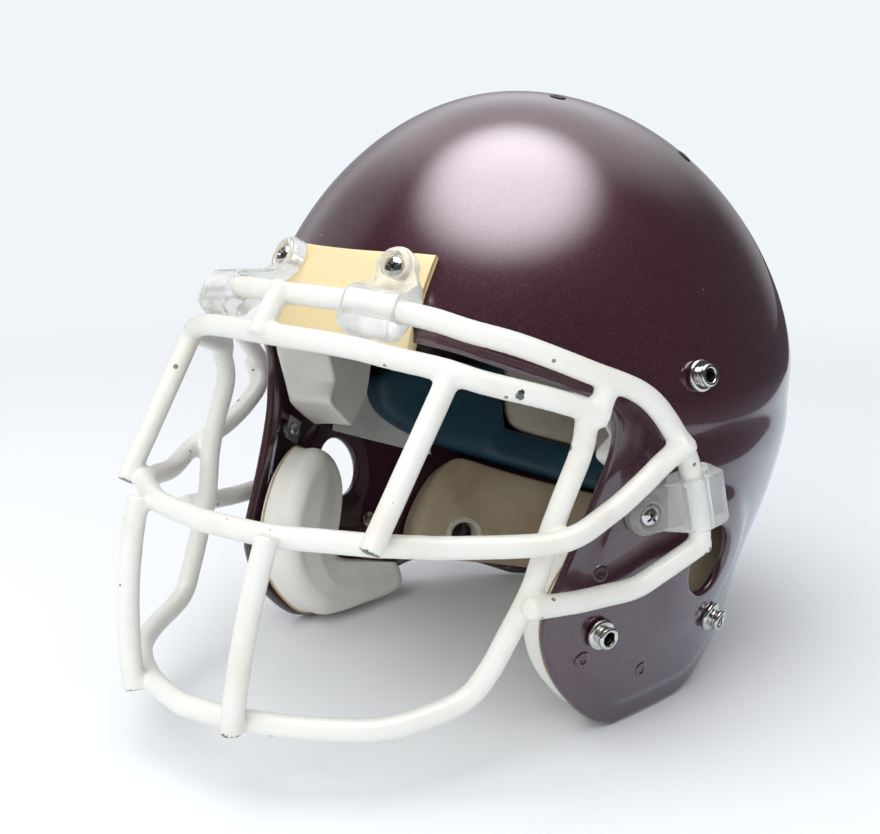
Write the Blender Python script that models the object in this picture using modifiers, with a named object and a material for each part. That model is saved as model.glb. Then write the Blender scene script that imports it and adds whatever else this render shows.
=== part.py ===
"""Football helmet: a moulded shell with its wire face guard, the clips, screws and tee nuts that
hold the guard, chin-strap studs, a brow bumper and the pads and air liner inside.

The helmet faces -Y, the wearer's left is +X and it rests on its jaw flaps and nape at Z = 0.
Everything is worked out in the head frame, whose origin lies on the floor below the middle of
the shell's widest section. One empty then moves the head frame so that the world's origin is
the middle of the whole helmet's footprint.
"""

import math

import bmesh
import bpy
from mathutils import Matrix, Vector

# Shell: half width, length behind and before the section centre, height of the widest section,
# rise of the crown above it and wall.
SHELL_HALF_WIDTH = 0.1116
SHELL_REAR_LENGTH = 0.1374
SHELL_FRONT_LENGTH = 0.1136
WIDEST_HEIGHT = 0.1264
CROWN_RISE = 0.1160
SHELL_WALL = 0.0040
CROWN_POWER = 1.22

# Sections below the widest one, at these shares of the way down to the floor.
SECTION_DEPTH_SHARES = (0.0, 0.33, 0.66, 1.0)
SECTION_WIDTH_SHARES = (1.0, 0.958, 0.882, 0.825)
SECTION_REAR_SHARES = (1.0, 0.898, 0.757, 0.680)
SECTION_FRONT_SHARES = (1.0, 1.187, 1.438, 1.692)
SECTION_SHIFT_SHARES = (0.0, 0.02, -0.035, -0.06)

# Rounded bulge over each ear.
EAR_BULGE = 0.0030
EAR_BULGE_LENGTH = 0.052
EAR_BULGE_HEIGHT = 0.056

# Ear hole. Places on the side are shares of SHELL_FRONT_LENGTH backwards and of WIDEST_HEIGHT
# upwards.
EAR_HOLE_SHARES = (-0.0704, 0.4945)
EAR_HOLE_BACK = EAR_HOLE_SHARES[0] * SHELL_FRONT_LENGTH
EAR_HOLE_HEIGHT = EAR_HOLE_SHARES[1] * WIDEST_HEIGHT
EAR_HOLE_HALF_LENGTH = 0.0120
EAR_HOLE_HALF_HEIGHT = 0.0140

# Side outline of the shell. The front part is in shares of SHELL_FRONT_LENGTH forwards and of
# WIDEST_HEIGHT upwards, from the brow round the face opening to the flap's flat foot.
BROW_SHARES = (
    (1.012, 1.250), (0.868, 1.203), (0.806, 1.173), (0.736, 1.139), (0.653, 1.100),
)
OPENING_SHARES = (
    (0.653, 1.100), (0.581, 1.064), (0.528, 1.005), (0.519, 0.940), (0.537, 0.854),
    (0.572, 0.767), (0.625, 0.657), (0.695, 0.522), (0.741, 0.435), (0.752, 0.356),
    (0.731, 0.285), (0.692, 0.206), (0.623, 0.127), (0.546, 0.062), (0.470, 0.018),
    (0.396, 0.0),
)
# The lower edge behind the flap's foot, in shares of SHELL_REAR_LENGTH backwards.
NAPE_EDGE_SHARES = ((0.058, 0.0), (0.182, 0.036), (0.290, 0.056), (0.400, 0.036), (0.495, 0.0))
OUTLINE_OVERRUN = 0.030
CUT_OVERRUN = 0.0035

# Clearance between neighbours, and how far a pad keeps off the wall where hardware lies behind.
GAP = 0.0003
WALL_CLEARANCE = 0.0008
CURVE_CLEARANCE = 0.0004

# Face guard wire. Its places are shares of the guard's half width, its reach in front of the
# section centre and the height of the brow wire, which keep their distance from the shell.
WIRE_RADIUS = 0.0042
CROSSING_CLEARANCE = 0.0008
GUARD_SIDE_ROOM = 0.0034
GUARD_FRONT_ROOM = 0.0719
BROW_WIRE_RISE = 0.0436
GUARD_HALF_WIDTH = SHELL_HALF_WIDTH + GUARD_SIDE_ROOM
GUARD_REACH = SHELL_FRONT_LENGTH + GUARD_FRONT_ROOM
BROW_WIRE_HEIGHT = WIDEST_HEIGHT + BROW_WIRE_RISE
WIRE_TIP = 0.0032
BROW_WIRE_SHARES = (
    (0.0, 0.701, 1.0), (0.235, 0.685, 0.997), (0.391, 0.658, 0.984), (0.517, 0.625, 0.968),
    (0.617, 0.593, 0.947), (0.736, 0.537, 0.920), (0.878, 0.439, 0.863), (0.970, 0.334, 0.803),
    (1.0, 0.243, 0.694), (1.0, 0.192, 0.606), (1.0, 0.168, 0.529), (0.996, 0.142, 0.424),
)
EYE_WIRE_SHARES = (
    (0.0, 0.760, 0.921), (0.313, 0.730, 0.912), (0.465, 0.695, 0.894), (0.591, 0.647, 0.874),
    (0.687, 0.604, 0.850), (0.800, 0.520, 0.818), (0.861, 0.4555, 0.791), (0.904, 0.406, 0.769),
)
NOSE_WIRE_SHARES = (
    (0.0, 0.927, 0.547), (0.261, 0.906, 0.547), (0.435, 0.857, 0.547), (0.545, 0.812, 0.543),
    (0.615, 0.755, 0.535), (0.700, 0.672, 0.524),
)
NOSE_WIRE_SIDE_SHARES = ((0.922, 0.404, 0.562), (0.946, 0.323, 0.606), (0.974, 0.270, 0.650))
CHIN_WIRE_SHARES = (
    (0.0, 0.992, 0.159), (0.174, 0.970, 0.159), (0.322, 0.933, 0.159), (0.478, 0.873, 0.159),
    (0.600, 0.792, 0.160), (0.691, 0.668, 0.188), (0.730, 0.620, 0.241), (0.757, 0.582, 0.312),
    (0.791, 0.534, 0.412), (0.817, 0.507, 0.518), (0.835, 0.474, 0.606), (0.852, 0.435, 0.700),
)
SIDE_WIRE_SHARES = (
    (0.870, 0.455, 0.374), (0.885, 0.385, 0.369), (0.915, 0.305, 0.369), (0.942, 0.245, 0.391),
)
CHIN_END_SHARE = 0.875
NOSE_CROSSING_SHARE = 0.525
SIDE_CROSSING_SHARE = 0.385
NOSE_END_SHARE = 0.700
SIDE_END_SHARE = 0.440
UPRIGHT_TOP_SHARE = 0.610
UPRIGHT_FOOT_SHARE = 0.550
CHIN_UPRIGHT_TOP_SHARE = 0.295
CHIN_UPRIGHT_FOOT_SHARE = 0.225
CHIN_UPRIGHT_BOW = 0.0030
SIDE_STRUT_TOP_SHARE = 0.913
SIDE_STRUT_FOOT_SHARE = 0.892

# Brow bumper.
BUMPER_THICKNESS = 0.0050
BUMPER_HALF_WIDTH = 0.0365
BUMPER_TOP_ROOM = 0.0115
BUMPER_TOP_HEIGHT = BROW_WIRE_HEIGHT + BUMPER_TOP_ROOM
BUMPER_LIP = 0.0050

# Guard clips, each bent round a wire and held by one screw.
CLIP_THICKNESS = 0.0045
CLIP_HALF_WIDTH = 0.0100
CLIP_NOSE_RADIUS = 0.0075
CLIP_RING_WALL = 0.0023
CLIP_BORE_CLEARANCE = 0.0016
CLIP_SLIT = 0.0008
TOP_CLIP_ACROSS = 0.0270
TOP_CLIP_RISE = 0.0046
TOP_CLIP_HEIGHT = BROW_WIRE_HEIGHT + TOP_CLIP_RISE
SIDE_CLIP_SHARES = (-0.2507, 0.5235)
SIDE_CLIP_BACK = SIDE_CLIP_SHARES[0] * GUARD_REACH
SIDE_CLIP_HEIGHT = SIDE_CLIP_SHARES[1] * BROW_WIRE_HEIGHT

# Pan-head screw with a cross recess, and its tee nut.
SCREW_HEAD_RADIUS = 0.0042
SCREW_HEAD_HEIGHT = 0.0026
SCREW_SHANK_RADIUS = 0.0018
SCREW_RECESS_LENGTH = 0.0046
SCREW_RECESS_WIDTH = 0.0010
SCREW_RECESS_DEPTH = 0.0014
SCREW_TIP_CLEARANCE = 0.0002
TEE_PLATE_SIZE = 0.0110
TEE_PLATE_THICKNESS = 0.0012
TEE_BARREL_RADIUS = 0.0032

# Chin-strap stud: a two-tier hollow ring riveted through the shell.
STUD_FLANGE_RADIUS = 0.0060
STUD_FLANGE_HEIGHT = 0.0016
STUD_NECK_RADIUS = 0.0036
STUD_NECK_HEIGHT = 0.0036
STUD_RING_RADIUS = 0.0044
STUD_HEIGHT = 0.0068
STUD_BORE_RADIUS = 0.0026
STUD_BORE_DEPTH = 0.0046
STUD_SHANK_RADIUS = 0.0024
STUD_BACK_RADIUS = 0.0048
STUD_BACK_HEIGHT = 0.0011
STUD_SHARES = {"upper": (-0.2025, 1.0918), "front": (-0.5458, 0.3481), "rear": (0.0352, 0.2729)}

# Jaw pad post: a small dimpled head outside and a snap disc inside.
POST_HEAD_RADIUS = 0.0034
POST_HEAD_HEIGHT = 0.0010
POST_DIMPLE_RADIUS = 0.0014
POST_DIMPLE_DEPTH = 0.0008
POST_SHANK_RADIUS = 0.0015
POST_SHARES = {"upper": (-0.5546, 0.5364), "front": (-0.6039, 0.2745), "rear": (-0.3169, 0.1725)}

# Valve ports of the air liner in the crown, at shares of SHELL_HALF_WIDTH across and of
# SHELL_REAR_LENGTH behind the section centre.
PORT_RADIUS = 0.0032
PORT_BORE_RADIUS = 0.0012
PORT_HEIGHT = 0.0008
PORT_SHARES = {"crown": (0.1927, 0.0051), "rear": (0.5018, 0.3130)}

# Pads. A band's shares give its height, the rise of its ends and its half height in shares of
# WIDEST_HEIGHT.
PAD_EDGE_SHARE = 0.35
PAD_TUCK_SHARE = 0.07
PAD_CROWN_POWER = 0.75
PAD_PLAN_POWER = 0.55
PAD_END_SHARE = 0.30
PAD_END_POWER = 8
JAW_PAD_THICKNESS = 0.0190
JAW_PAD_CENTRE_SHARES = (-0.400, 0.270)
JAW_PAD_SHARES = (
    (-0.510, 0.630), (-0.380, 0.635), (-0.285, 0.565), (-0.265, 0.465), (-0.285, 0.370),
    (-0.190, 0.305), (-0.030, 0.270), (0.080, 0.195), (0.085, 0.100), (0.010, 0.030),
    (-0.150, 0.013), (-0.320, 0.014), (-0.470, 0.042), (-0.610, 0.140), (-0.690, 0.250),
    (-0.720, 0.370), (-0.690, 0.480), (-0.615, 0.575),
)
TEMPLE_PAD_THICKNESS = 0.0220
TEMPLE_PAD_CENTRE_SHARES = (-0.370, 0.980)
TEMPLE_PAD_SHARES = (
    (-0.640, 1.160), (-0.560, 1.070), (-0.505, 0.980), (-0.480, 0.880), (-0.440, 0.790),
    (-0.300, 0.740), (-0.110, 0.710), (-0.030, 0.770), (-0.060, 0.930), (-0.150, 1.090),
    (-0.290, 1.240), (-0.480, 1.320), (-0.620, 1.270),
)
FOREHEAD_PAD_THICKNESS = 0.0200
FOREHEAD_PAD_HALF_TURN = 33.0
FOREHEAD_PAD_SHARES = (1.4003, 0.0, 0.1305)
FOREHEAD_PAD_HEIGHT = FOREHEAD_PAD_SHARES[0] * WIDEST_HEIGHT
FOREHEAD_PAD_HALF_HEIGHT = FOREHEAD_PAD_SHARES[2] * WIDEST_HEIGHT
AIR_BAND_THICKNESS = 0.0160
AIR_BAND_HALF_TURN = 76.0
AIR_BAND_SHARES = (0.4509, 0.2690, 0.1147)
AIR_BAND_HEIGHT = AIR_BAND_SHARES[0] * WIDEST_HEIGHT
AIR_BAND_END_RISE = AIR_BAND_SHARES[1] * WIDEST_HEIGHT
AIR_BAND_HALF_HEIGHT = AIR_BAND_SHARES[2] * WIDEST_HEIGHT
NAPE_PAD_THICKNESS = 0.0140
NAPE_PAD_HALF_TURN = 68.0
NAPE_PAD_SHARES = (0.1701, 0.1266, 0.1543)
NAPE_PAD_HEIGHT = NAPE_PAD_SHARES[0] * WIDEST_HEIGHT
NAPE_PAD_END_RISE = NAPE_PAD_SHARES[1] * WIDEST_HEIGHT
NAPE_PAD_HALF_HEIGHT = NAPE_PAD_SHARES[2] * WIDEST_HEIGHT
REAR_PAD_THICKNESS = 0.0180
REAR_PAD_HALF_TURN = 52.0
REAR_PAD_SHARES = (0.8544, 0.1345, 0.2769)
REAR_PAD_HEIGHT = REAR_PAD_SHARES[0] * WIDEST_HEIGHT
REAR_PAD_END_RISE = REAR_PAD_SHARES[1] * WIDEST_HEIGHT
REAR_PAD_HALF_HEIGHT = REAR_PAD_SHARES[2] * WIDEST_HEIGHT
CROWN_PAD_THICKNESS = 0.0180
CROWN_PAD_RADIUS = 0.0560
CROWN_PAD_BACK = 0.0100

# Resolution of the curved pieces.
SHELL_SEGMENTS = 44
SHELL_RINGS = 24
WIRE_STEP = 0.0130
WIRE_SIDES = 2
SPLINE_STEPS = 12
TURNED_STEPS = 12
PAD_SEGMENTS = 24
PAD_RINGS = 9
OUTLINE_STEPS = 3


def clear_scene():
    """Remove the scene's objects."""
    for obj in list(bpy.data.objects):
        bpy.data.objects.remove(obj, do_unlink=True)


def collection(name):
    """Make a collection in the scene."""
    group = bpy.data.collections.new(name)
    bpy.context.scene.collection.children.link(group)
    return group


def signed_power(value, power):
    """Raise a value to a power and keep its sign."""
    return math.copysign(abs(value) ** power, value)


def spline(points, steps=SPLINE_STEPS):
    """Read a smooth curve through the points, as a list of vectors."""
    padded = [2 * points[0] - points[1], *points, 2 * points[-1] - points[-2]]
    curve = []
    for a, b, c, d in zip(padded, padded[1:], padded[2:], padded[3:]):
        for step in range(steps):
            t = step / steps
            curve.append(
                0.5 * (2 * b + (c - a) * t + (2 * a - 5 * b + 4 * c - d) * t**2
                       + (3 * b - a - 3 * c + d) * t**3)
            )
    return [*curve, points[-1]]


def closed_spline(points, steps=SPLINE_STEPS):
    """Read a smooth closed curve through the points."""
    ring = [points[-1], *points, points[0], points[1]]
    return spline(ring, steps)[steps : steps * (len(points) + 1)]


def length_along(curve):
    """Distances of a curve's points from its start."""
    marks = [0.0]
    for a, b in zip(curve, curve[1:]):
        marks.append(marks[-1] + (b - a).length)
    return marks


def resample(curve, step):
    """Space a curve's points evenly."""
    marks = length_along(curve)
    count = max(2, round(marks[-1] / step))
    places = [marks[-1] * i / count for i in range(count + 1)]
    out, k = [], 0
    for place in places:
        while k < len(marks) - 2 and marks[k + 1] < place:
            k += 1
        span = marks[k + 1] - marks[k]
        share = (place - marks[k]) / span if span else 0.0
        out.append(curve[k].lerp(curve[k + 1], share))
    return out


# The shell's surface


def section_share(shares, depth):
    """Blend a row of section shares smoothly at a depth share."""
    depth = min(max(depth, 0.0), 1.0)
    knots = SECTION_DEPTH_SHARES
    last = len(knots) - 1
    k = max(i for i in range(last) if depth >= knots[i])
    slopes = [0.0]
    for i in range(1, last + 1):
        ahead = min(i + 1, last)
        slopes.append((shares[ahead] - shares[i - 1]) / (knots[ahead] - knots[i - 1]))
    slopes[last] = (shares[last] - shares[last - 1]) / (knots[last] - knots[last - 1])
    span = knots[k + 1] - knots[k]
    t = (depth - knots[k]) / span
    return (
        (2 * t**3 - 3 * t**2 + 1) * shares[k]
        + (t**3 - 2 * t**2 + t) * span * slopes[k]
        + (3 * t**2 - 2 * t**3) * shares[k + 1]
        + (t**3 - t**2) * span * slopes[k + 1]
    )


def section_at(level):
    """Height, half width, rear and front length and centre shift of the section at a level.

    The level is an angle: 0 at the crown, a right angle at the widest section and two right
    angles at the floor.
    """
    quarter = math.pi / 2
    if level <= quarter:
        scale = math.sin(level)
        height = WIDEST_HEIGHT + CROWN_RISE * max(math.cos(level), 0.0) ** CROWN_POWER
        return (height, SHELL_HALF_WIDTH * scale, SHELL_REAR_LENGTH * scale,
                SHELL_FRONT_LENGTH * scale, 0.0)
    depth = (level - quarter) / quarter
    return (
        WIDEST_HEIGHT * (1.0 - depth),
        SHELL_HALF_WIDTH * section_share(SECTION_WIDTH_SHARES, depth),
        SHELL_REAR_LENGTH * section_share(SECTION_REAR_SHARES, depth),
        SHELL_FRONT_LENGTH * section_share(SECTION_FRONT_SHARES, depth),
        SHELL_HALF_WIDTH * section_share(SECTION_SHIFT_SHARES, depth),
    )


def surface(turn, level):
    """Point of the shell's outer surface. Turn 0 is the wearer's left and -90 degrees the front."""
    height, half_width, rear, front, shift = section_at(level)
    length = rear if math.sin(turn) > 0.0 else front
    x = half_width * math.cos(turn)
    y = shift + length * math.sin(turn)
    from_ear = math.hypot((y - EAR_HOLE_BACK) / EAR_BULGE_LENGTH,
                          (height - EAR_HOLE_HEIGHT) / EAR_BULGE_HEIGHT)
    if from_ear < 1.0:
        swell = 0.5 + 0.5 * math.cos(math.pi * from_ear)
        x += math.copysign(EAR_BULGE * swell * min(1.0, abs(x) / SHELL_HALF_WIDTH), x)
    return Vector((x, y, height))


def place(turn, level, offset=0.0):
    """Point at an offset from the outer surface, and the outward normal there."""
    small = 0.5 / SHELL_SEGMENTS
    level = max(level, small)
    here = surface(turn, level)
    along = surface(turn + small, level) - surface(turn - small, level)
    down = surface(turn, level + small) - surface(turn, level - small)
    normal = down.cross(along).normalized()
    return here + normal * offset, normal


def level_at(height):
    """Level of the section at a height."""
    quarter = math.pi / 2
    if height >= WIDEST_HEIGHT:
        rise = min((height - WIDEST_HEIGHT) / CROWN_RISE, 1.0)
        return math.acos(rise ** (1.0 / CROWN_POWER))
    return quarter + quarter * (WIDEST_HEIGHT - height) / WIDEST_HEIGHT


def turn_beside(back, height):
    """Turn of the side point that lies this far behind the section centre."""
    _, _, rear, front, shift = section_at(level_at(height))
    away = back - shift
    return math.asin(max(-1.0, min(1.0, away / (rear if away > 0.0 else front))))


def turn_before(across, height):
    """Turn of the front point that lies this far across."""
    half_width = section_at(level_at(height))[1]
    return -math.acos(max(-1.0, min(1.0, across / half_width)))


def angles_above(across, back):
    """Turn and level of the crown point that lies this far across and back."""
    length = SHELL_REAR_LENGTH if back > 0.0 else SHELL_FRONT_LENGTH
    x, y = across / SHELL_HALF_WIDTH, back / length
    return math.atan2(y, x), math.asin(min(1.0, math.hypot(x, y)))


def seat(turn, level, offset=0.0):
    """Matrix on the shell: Z outward, X level round the shell and Y down it."""
    point, normal = place(turn, level, offset)
    side = Vector((0, 0, -1)).cross(normal).normalized()
    down = normal.cross(side)
    axes = Matrix((side, down, normal)).transposed().to_4x4()
    return Matrix.Translation(point) @ axes


def beside_seat(shares):
    """Seat on the wearer's left, at shares of the front length and the widest height."""
    back, height = shares[0] * SHELL_FRONT_LENGTH, shares[1] * WIDEST_HEIGHT
    return seat(turn_beside(back, height), level_at(height))


# Objects


def finish(name, colour, roughness, metallic=0.0, coat=0.0, transmission=0.0):
    """Plain material of one piece."""
    material = bpy.data.materials.new(name)
    material.use_nodes = True
    shader = material.node_tree.nodes["Principled BSDF"]
    shader.inputs["Base Color"].default_value = (*colour, 1.0)
    shader.inputs["Roughness"].default_value = roughness
    shader.inputs["Metallic"].default_value = metallic
    shader.inputs["Coat Weight"].default_value = coat
    shader.inputs["Transmission Weight"].default_value = transmission
    material.diffuse_color = (*colour, 1.0)
    return material


PLUM = ((0.075, 0.018, 0.030), 0.30, 0.55, 1.0)
IVORY = ((0.86, 0.84, 0.76), 0.38)
CREAM = ((0.88, 0.74, 0.44), 0.50)
CLEAR = ((0.90, 0.92, 0.92), 0.12, 0.0, 0.0, 0.85)
NICKEL = ((0.72, 0.70, 0.66), 0.18, 1.0)
FOAM = ((0.80, 0.78, 0.70), 0.65)
TEAL = ((0.015, 0.075, 0.120), 0.50)
TAN = ((0.42, 0.33, 0.22), 0.80)
BEIGE = ((0.62, 0.55, 0.42), 0.75)
BLACK = ((0.02, 0.02, 0.02), 0.50)


class Workshop:
    """The helmet's collection, the cutters' collection and the empty that carries the head frame."""

    def __init__(self):
        self.parts = collection("football_helmet")
        self.cutters = collection("cutters")
        self.helmet = bpy.data.objects.new("helmet_frame", None)
        self.parts.objects.link(self.helmet)
        middle = (SHELL_REAR_LENGTH - GUARD_REACH - WIRE_RADIUS) / 2
        self.helmet.location = (0.0, -middle, 0.0)

    def add(self, name, mesh, colours, matrix=None):
        """Add a piece to the helmet."""
        obj = bpy.data.objects.new(name, mesh)
        self.parts.objects.link(obj)
        obj.parent = self.helmet
        obj.matrix_local = matrix or Matrix()
        obj.data.materials.append(finish(name, *colours))
        return obj

    def add_cutter(self, name, mesh, matrix=None, group=None):
        """Add a hidden cutter."""
        obj = bpy.data.objects.new(name, mesh)
        (group or self.cutters).objects.link(obj)
        obj.parent = self.helmet
        obj.matrix_local = matrix or Matrix()
        obj.display_type = "WIRE"
        obj.hide_render = True
        return obj

    def add_pair(self, name, mesh, colours, matrix):
        """Add a piece on the wearer's left and its mirror image on the right."""
        flip = Matrix.Scale(-1, 4, Vector((1, 0, 0)))
        other = mesh.copy()
        other.transform(flip)
        other.flip_normals()
        self.add(f"{name}_left", mesh, colours, matrix)
        self.add(f"{name}_right", other, colours, flip @ matrix @ flip)


def boolean(obj, operation, cutter=None, group=None):
    """Give an object an exact Boolean modifier."""
    modifier = obj.modifiers.new(operation.lower(), "BOOLEAN")
    modifier.operation = operation
    modifier.solver = "EXACT"
    if group:
        modifier.operand_type = "COLLECTION"
        modifier.collection = group
    else:
        modifier.object = cutter
    return modifier


def face_outward(work):
    """Turn a closed mesh's faces outward."""
    if work.calc_volume(signed=True) < 0.0:
        bmesh.ops.reverse_faces(work, faces=work.faces)


def smooth(mesh, degrees=35.0):
    """Shade a mesh smooth, with sharp edges kept."""
    mesh.shade_smooth()
    mesh.set_sharp_from_angle(angle=math.radians(degrees))
    return mesh


def evaluated_mesh(obj):
    """Mesh of an object with its modifiers applied and its loose caps welded."""
    mesh = bpy.data.meshes.new_from_object(obj.evaluated_get(bpy.context.evaluated_depsgraph_get()))
    work = bmesh.new()
    work.from_mesh(mesh)
    bmesh.ops.remove_doubles(work, verts=work.verts, dist=GAP / 100)
    work.to_mesh(mesh)
    work.free()
    return mesh


def take_mesh(obj):
    """Take an object's evaluated mesh and remove the object."""
    mesh = evaluated_mesh(obj)
    bpy.data.objects.remove(obj, do_unlink=True)
    return mesh


def wire_mesh(points, radius):
    """Round wire along a curve, with filled ends."""
    curve = bpy.data.curves.new("wire", "CURVE")
    curve.dimensions = "3D"
    curve.bevel_depth = radius
    curve.bevel_resolution = WIRE_SIDES
    curve.use_fill_caps = True
    run = curve.splines.new("POLY")
    run.points.add(len(points) - 1)
    for slot, point in zip(run.points, points):
        slot.co = (*point, 1.0)
    obj = bpy.data.objects.new("wire", curve)
    bpy.context.scene.collection.objects.link(obj)
    return smooth(take_mesh(obj), 50.0)


def flat_mesh(outline, half_thickness):
    """Flat plate with a closed outline in X and Y."""
    curve = bpy.data.curves.new("plate", "CURVE")
    curve.dimensions = "2D"
    curve.fill_mode = "BOTH"
    curve.extrude = half_thickness
    run = curve.splines.new("POLY")
    run.points.add(len(outline) - 1)
    for slot, (x, y) in zip(run.points, outline):
        slot.co = (x, y, 0.0, 1.0)
    run.use_cyclic_u = True
    obj = bpy.data.objects.new("plate", curve)
    bpy.context.scene.collection.objects.link(obj)
    return take_mesh(obj)


def turned_mesh(profile):
    """Turned piece about Z, from a profile of radius and height pairs that runs from top to bottom."""
    mesh = bpy.data.meshes.new("turned")
    work = bmesh.new()
    verts = [work.verts.new((radius, 0.0, height)) for radius, height in profile]
    for a, b in zip(verts, verts[1:]):
        work.edges.new((a, b))
    work.to_mesh(mesh)
    work.free()
    obj = bpy.data.objects.new("turned", mesh)
    bpy.context.scene.collection.objects.link(obj)
    screw = obj.modifiers.new("screw", "SCREW")
    screw.steps = screw.render_steps = TURNED_STEPS
    screw.use_merge_vertices = True
    screw.merge_threshold = GAP / 30
    return smooth(take_mesh(obj))


def bar_mesh(radius, low, high, segments=TURNED_STEPS):
    """Round bar along Z between two heights."""
    mesh = bpy.data.meshes.new("bar")
    work = bmesh.new()
    bmesh.ops.create_cone(work, cap_ends=True, segments=segments, radius1=radius, radius2=radius,
                          depth=high - low,
                          matrix=Matrix.Translation((0.0, 0.0, (low + high) / 2)))
    work.to_mesh(mesh)
    work.free()
    return smooth(mesh)


def block_mesh(size_x, size_y, low, high):
    """Block centred on Z between two heights."""
    mesh = bpy.data.meshes.new("block")
    work = bmesh.new()
    scale = Matrix.Diagonal((size_x, size_y, high - low, 1.0))
    bmesh.ops.create_cube(work, size=1.0,
                          matrix=Matrix.Translation((0.0, 0.0, (low + high) / 2)) @ scale)
    work.to_mesh(mesh)
    work.free()
    return mesh


def boolean_mesh(base, steps):
    """Mesh of a base mesh after a list of (operation, mesh, matrix) Boolean steps."""
    link = bpy.context.scene.collection.objects.link
    obj = bpy.data.objects.new("base", base)
    link(obj)
    tools = []
    for operation, mesh, matrix in steps:
        tool = bpy.data.objects.new("tool", mesh)
        link(tool)
        tool.matrix_world = matrix
        tools.append(tool)
        boolean(obj, operation, tool)
    bpy.context.view_layer.update()
    result = take_mesh(obj)
    for tool in tools:
        bpy.data.objects.remove(tool, do_unlink=True)
    return result


# Shell


def side_outline():
    """The shell's side outline in Y and Z, as a closed list."""

    def front(pairs):
        return [Vector((-f * SHELL_FRONT_LENGTH, h * WIDEST_HEIGHT)) for f, h in pairs]

    def rear(pairs):
        return [Vector((b * SHELL_REAR_LENGTH, h * WIDEST_HEIGHT)) for b, h in pairs]

    brow = front(BROW_SHARES)
    lead = brow[0] + (brow[0] - brow[1]).normalized() * OUTLINE_OVERRUN
    edge = spline(front(BROW_SHARES[:-1] + OPENING_SHARES), OUTLINE_STEPS)
    nape = spline(rear(NAPE_EDGE_SHARES), OUTLINE_STEPS)
    behind = SHELL_REAR_LENGTH + OUTLINE_OVERRUN
    above = WIDEST_HEIGHT + CROWN_RISE + OUTLINE_OVERRUN
    return [lead, *edge, *nape, Vector((behind, 0.0)), Vector((behind, above)),
            Vector((lead.x, above))]


def brow_height(back):
    """Height of the brow edge at a place in front of the section centre."""
    edge = [p for p in side_outline() if p.x <= -OPENING_SHARES[0][0] * SHELL_FRONT_LENGTH]
    edge = sorted((p for p in edge if p.y < WIDEST_HEIGHT + CROWN_RISE), key=lambda p: p.x)
    for a, b in zip(edge, edge[1:]):
        if a.x <= back <= b.x:
            return a.y + (b.y - a.y) * (back - a.x) / (b.x - a.x)
    return edge[0].y if back < edge[0].x else edge[-1].y


def shell_skin():
    """Open outer surface of the shell, from a sphere whose points are moved onto it."""
    mesh = bpy.data.meshes.new("shell")
    work = bmesh.new()
    bmesh.ops.create_uvsphere(work, u_segments=SHELL_SEGMENTS, v_segments=SHELL_RINGS, radius=1.0)
    bmesh.ops.delete(work, geom=[min(work.verts, key=lambda v: v.co.z)], context="VERTS")
    quarter = math.pi / 2
    last_ring = math.pi * (SHELL_RINGS - 1) / SHELL_RINGS
    bottom = quarter * (2 + CUT_OVERRUN / WIDEST_HEIGHT)
    for vert in work.verts:
        turn = math.atan2(vert.co.y, vert.co.x)
        level = math.acos(max(-1.0, min(1.0, vert.co.z)))
        if level > quarter:
            level = quarter + (bottom - quarter) * (level - quarter) / (last_ring - quarter)
        vert.co = surface(turn, level)
    work.to_mesh(mesh)
    work.free()
    return smooth(mesh)


def drill(shop, group, name, matrix, radius):
    """Cut a round hole through the shell at a seat."""
    reach = SHELL_WALL + CUT_OVERRUN
    shop.add_cutter(name, bar_mesh(radius, -reach, CUT_OVERRUN), matrix, group)


def build_shell(shop, seats):
    """Shell with its outline, ear holes and the holes at the given seats."""
    shell = shop.add("shell", shell_skin(), PLUM)
    wall = shell.modifiers.new("wall", "SOLIDIFY")
    wall.thickness = SHELL_WALL
    wall.offset = -1.0
    wall.use_even_offset = True
    outline = flat_mesh([tuple(p) for p in side_outline()], SHELL_HALF_WIDTH + OUTLINE_OVERRUN)
    upright = Matrix(((0, 0, 1, 0), (1, 0, 0, 0), (0, 1, 0, 0), (0, 0, 0, 1)))
    holes = bpy.data.collections.new("shell_holes")
    shop.cutters.children.link(holes)
    lying = Matrix.Rotation(math.pi / 2, 4, "Y")
    oval = Matrix.Diagonal((EAR_HOLE_HALF_HEIGHT, EAR_HOLE_HALF_LENGTH, 1.0, 1.0))
    through = SHELL_HALF_WIDTH + OUTLINE_OVERRUN
    ears = bar_mesh(1.0, -through, through)
    ears.transform(lying @ oval)
    shop.add_cutter("ear_holes", ears,
                    Matrix.Translation((0.0, EAR_HOLE_BACK, EAR_HOLE_HEIGHT)), holes)
    for name, (matrix, radius) in seats.items():
        drill(shop, holes, f"{name}_hole", matrix, radius)
    boolean(shell, "DIFFERENCE", group=holes)
    boolean(shell, "INTERSECT", shop.add_cutter("shell_outline", outline, upright))
    return shell


# Face guard


def guard_points(shares):
    """Places of the guard, from shares of its half width, reach and brow wire height."""
    return [Vector((a * GUARD_HALF_WIDTH, -f * GUARD_REACH, h * BROW_WIRE_HEIGHT))
            for a, f, h in shares]


def at_height(curve, share):
    """Point and direction where a side run of wire passes a share of the brow wire's height."""
    height = share * BROW_WIRE_HEIGHT
    for a, b in reversed(list(zip(curve, curve[1:]))):
        if min(a.z, b.z) <= height <= max(a.z, b.z) and a.z != b.z:
            return a.lerp(b, (height - a.z) / (b.z - a.z)), (b - a).normalized()
    return curve[-1], (curve[-1] - curve[-2]).normalized()


def at_across(curve, share):
    """Point and direction where a wire first passes a share of the guard's half width."""
    across = share * GUARD_HALF_WIDTH
    for a, b in zip(curve, curve[1:]):
        if a.x <= across <= b.x and a.x != b.x:
            return a.lerp(b, (across - a.x) / (b.x - a.x)), (b - a).normalized()
    return curve[-1], (curve[-1] - curve[-2]).normalized()


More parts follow.
